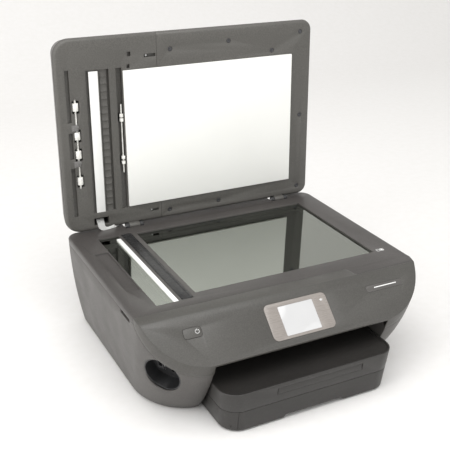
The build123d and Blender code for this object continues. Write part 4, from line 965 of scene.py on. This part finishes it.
class PRINTER_OT_lid(bpy.types.Operator):
    """Lid shell, its inner liner, the screws and the white pad"""
    bl_idname = "printer.lid"
    bl_label = "Lid"

    def execute(self, context):
        edge = settings().edge
        rounded_copy("lid_shell", "case", edge.moulded_edge)
        # the liner's faces deep in its recesses get near-black painted shade
        rounded_copy("lid_liner", "liner", edge.fine_edge,
                     parts=[("recess_shade", under_lid(0.0004)), ("hinge", near_axis(joint("lid_hinge"), 0.0058))])
        rounded_copy("lid_screws", "screw", edge.sheet_edge)
        make_window_screws()
        rounded_copy("document_pad", "pad", edge.moulded_edge)
        return {"FINISHED"}


def make_window_screws():
    """Bright screws in the two windows beside the seam of the inner frames."""
    face = lid_face()
    for name, from_hinge in WINDOW_PLACES:
        place = OPEN @ Matrix.Translation((WINDOW_X, HINGE.y - from_hinge, face + 0.0022))
        profile = [(0.0017, 0.0), (0.0017, -0.0009), (0.0011, -0.0013)]
        turned(f"window_screw_{name}", profile, 24, place, "lid", "bright_screw")


class PRINTER_OT_feeder(bpy.types.Operator):
    """Document feeder in the lid: its frame, rollers, backing strip, clips and flat cable"""
    bl_idname = "printer.feeder"
    bl_label = "Document feeder"

    def execute(self, context):
        edge = settings().edge
        # the frame's faces deep in its recesses get near-black painted shade
        rounded_copy("feeder_frame", "liner", edge.fine_edge,
                     parts=[("recess_shade", under_lid(0.0035)), ("channel", in_channel),
                            ("hinge", near_axis(joint("lid_hinge"), 0.0058))])
        rounded_copy("backing_strip", "white_film", edge.sheet_edge)
        shaft = joint("feed_shaft_spin")
        rounded_copy("feeder_rollers", "pale_rubber", edge.fine_edge,
                     parts=[("steel", near_axis(shaft, 0.0017))])
        rounded_copy("feeder_exit_rollers", "pale_rubber", edge.sheet_edge,
                     parts=[("steel", near_axis(joint("feed_exit_spin"), 0.0012))])
        make_clips()
        make_flat_cable()
        return {"FINISHED"}


def in_channel(middle, normal):
    """A face test: the ribbed floor of the paper channel, beside the backing strip."""
    closed = CLOSE @ middle
    strip = closed_box("backing_strip")[1].x
    return strip + 0.002 < closed.x < strip + 0.0155 and closed.z > lid_face() + 0.0015


def near_axis(hinge, radius):
    """A face test: nearer than this to a joint's axis."""
    pivot, axis = Vector(hinge["pos_m"]), Vector(hinge["axis"]).normalized()

    def test(middle, normal):
        away = middle - pivot
        return (away - axis * away.dot(axis)).length < radius

    return test


def make_clips():
    """Two grey clips that hold the feed shaft in the frame."""
    face = lid_face()
    shaft = CLOSE @ Vector(joint("feed_shaft_spin")["pos_m"])
    for k, from_hinge in enumerate(CLIP_PLACES):
        y = HINGE.y - from_hinge
        soft_box(f"shaft_clip_{k + 1}", (shaft.x - 0.0085, y - 0.0048, face - 0.0009),
                 (shaft.x + 0.0020, y + 0.0048, face + 0.0006), 0.0005, "lid", "clip", OPEN)
        soft_box(f"clip_arm_{k + 1}", (shaft.x - 0.0025, y - 0.0035, face - 0.0016),
                 (shaft.x + 0.0030, y + 0.0002, face + 0.0004), 0.0005, "lid", "clip", OPEN)


def make_flat_cable():
    """White flat cable that joins the feeder to the printer beside the left hinge."""
    spine = [(-0.1690, 0.1790, 0.1745), (-0.1690, 0.1738, 0.1690), (-0.1685, 0.1712, 0.1632),
             (-0.1650, 0.1700, 0.1596), (-0.1580, 0.1704, 0.1588), (-0.1500, 0.1722, 0.1592),
             (-0.1420, 0.1750, 0.1586), (-0.1360, 0.1790, 0.1560)]
    steps = 24
    points = [smooth_point(spine, k / steps) for k in range(steps + 1)]
    work = bmesh.new()
    rows = []
    for k, point in enumerate(points):
        share = k / steps
        ease = share * share * (3 - 2 * share)
        across = Vector((1, 0, 0)).lerp(Vector((0.25, -0.15, 0.95)), ease).normalized()
        wide = across * (0.0062 - 0.0032 * ease)
        rows.append([work.verts.new(point - wide), work.verts.new(point + wide)])
    for first, second in zip(rows, rows[1:]):
        work.faces.new((first[0], first[1], second[1], second[0]))
    bmesh.ops.solidify(work, geom=list(work.faces), thickness=0.00025)
    bmesh.ops.recalc_face_normals(work, faces=work.faces)
    mesh = finished_mesh("feeder_flat_cable", work)
    cable = add_piece("feeder_flat_cable", mesh, "lid", "white_film")
    cable.parent = None
    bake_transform(cable)


def smooth_point(spine, share):
    """A point along a smooth line through the given points."""
    place = share * (len(spine) - 1)
    k = min(int(place), len(spine) - 2)
    t = place - k
    before, start, end, after = (Vector(spine[max(0, min(len(spine) - 1, k + j))]) for j in (-1, 0, 1, 2))
    return 0.5 * ((2 * start) + (end - before) * t + (2 * before - 5 * start + 4 * end - after) * t * t
                  + (3 * start - before - 3 * end + after) * t * t * t)


class PRINTER_OT_feed_cover(bpy.types.Operator):
    """Cover over the feeder and the two document guides"""
    bl_idname = "printer.feed_cover"
    bl_label = "Feeder cover"

    def execute(self, context):
        edge = settings().edge
        rounded_copy("feed_cover", "case", edge.moulded_edge)
        for node in ("front_document_guide", "rear_document_guide"):
            rounded_copy(node, "guide", edge.fine_edge)
        return {"FINISHED"}


class PRINTER_OT_stage(bpy.types.Operator):
    """Pale floor and backdrop, soft lights and the camera"""
    bl_idname = "printer.stage"
    bl_label = "Stage"

    def execute(self, context):
        make_stage()
        return {"FINISHED"}


def make_stage():
    """A seamless sweep from floor to back wall, soft lights and the camera."""
    stage = settings().stage
    work = bmesh.new()
    half = 6.0
    wall_y = 2.6
    wall_top = 5.0
    bend = 1.2
    profile = [(-half, 0.0), (wall_y - bend, 0.0)]
    steps = 16
    for k in range(1, steps + 1):
        turn = math.radians(90 * k / steps)
        profile.append((wall_y - bend + bend * math.sin(turn), bend - bend * math.cos(turn)))
    profile.append((wall_y, wall_top))
    rows = [[work.verts.new((x, y, z)) for y, z in profile] for x in (-half, half)]
    for k in range(len(profile) - 1):
        work.faces.new((rows[0][k], rows[1][k], rows[1][k + 1], rows[0][k + 1]))
    mesh = finished_mesh("sweep", work)
    floor = bpy.data.objects.new("studio_sweep", mesh)
    bpy.context.scene.collection.objects.link(floor)
    mesh.materials.append(studio_white("studio_paper"))

    world = bpy.data.worlds.new("white_room")
    bpy.context.scene.world = world
    world.use_nodes = True
    background = world.node_tree.nodes["Background"]
    background.inputs["Color"].default_value = (1.0, 0.995, 0.985, 1.0)
    background.inputs["Strength"].default_value = stage.room_light

    target = Vector((0.0, 0.0, 0.15))
    for name, place, size, power in (
        ("key_light", (-0.4, -0.6, 2.3), (2.2, 1.8), stage.key_power),
        ("fill_light", (-2.4, -0.3, 1.2), (1.6, 1.8), stage.fill_power),
        ("front_light", (0.9, -2.4, 1.1), (1.6, 1.4), stage.front_power),
    ):
        light = bpy.data.lights.new(name, "AREA")
        light.shape = "RECTANGLE"
        light.size, light.size_y = size
        light.energy = power
        lamp = bpy.data.objects.new(name, light)
        bpy.context.scene.collection.objects.link(lamp)
        lamp.location = place
        lamp.rotation_euler = (target - Vector(place)).to_track_quat("-Z", "Y").to_euler()

    camera_data = bpy.data.cameras.new("camera")
    camera_data.lens = stage.lens
    camera_data.sensor_width = 36.0
    camera = bpy.data.objects.new("camera", camera_data)
    bpy.context.scene.collection.objects.link(camera)
    azimuth, elevation, roll = (math.radians(angle) for angle in CAMERA_ANGLES)
    ahead = Vector((math.sin(azimuth) * math.cos(elevation), math.cos(azimuth) * math.cos(elevation),
                    math.sin(elevation)))
    turn = ahead.to_track_quat("-Z", "Y").to_matrix() @ Matrix.Rotation(roll, 3, "Z")
    camera.matrix_world = Matrix.Translation(CAMERA_PLACE) @ turn.to_4x4()
    bpy.context.scene.camera = camera
    bpy.context.scene.view_settings.view_transform = "Standard"


class PRINTER_PT_sidebar(bpy.types.Panel):
    """Lists the pieces of the printer"""
    bl_idname = "PRINTER_PT_sidebar"
    bl_label = "Printer"
    bl_space_type = "VIEW_3D"
    bl_region_type = "UI"
    bl_category = "Printer"

    def draw(self, context):
        for operator in operators:
            self.layout.operator(operator.bl_idname)


operators = (
    PRINTER_OT_case,
    PRINTER_OT_control_panel,
    PRINTER_OT_touch_panel,
    PRINTER_OT_paper_trays,
    PRINTER_OT_paper_guides,
    PRINTER_OT_print_mechanism,
    PRINTER_OT_cartridges,
    PRINTER_OT_scanner_bed,
    PRINTER_OT_glass,
    PRINTER_OT_lid,
    PRINTER_OT_feeder,
    PRINTER_OT_feed_cover,
    PRINTER_OT_stage,
)
groups = (PlasticSettings, EdgeSettings, StageSettings, PrinterSettings)


def register():
    for group in groups:
        bpy.utils.register_class(group)
    setattr(bpy.types.Scene, SETTINGS, PointerProperty(type=PrinterSettings))
    for operator in operators:
        bpy.utils.register_class(operator)
    bpy.utils.register_class(PRINTER_PT_sidebar)


def unregister():
    bpy.utils.unregister_class(PRINTER_PT_sidebar)
    for operator in reversed(operators):
        bpy.utils.unregister_class(operator)
    delattr(bpy.types.Scene, SETTINGS)
    for group in reversed(groups):
        bpy.utils.unregister_class(group)


def main():
    register()
    for operator in operators:
        family, name = operator.bl_idname.split(".")
        getattr(getattr(bpy.ops, family), name)()


if __name__ == "__main__":
    main()
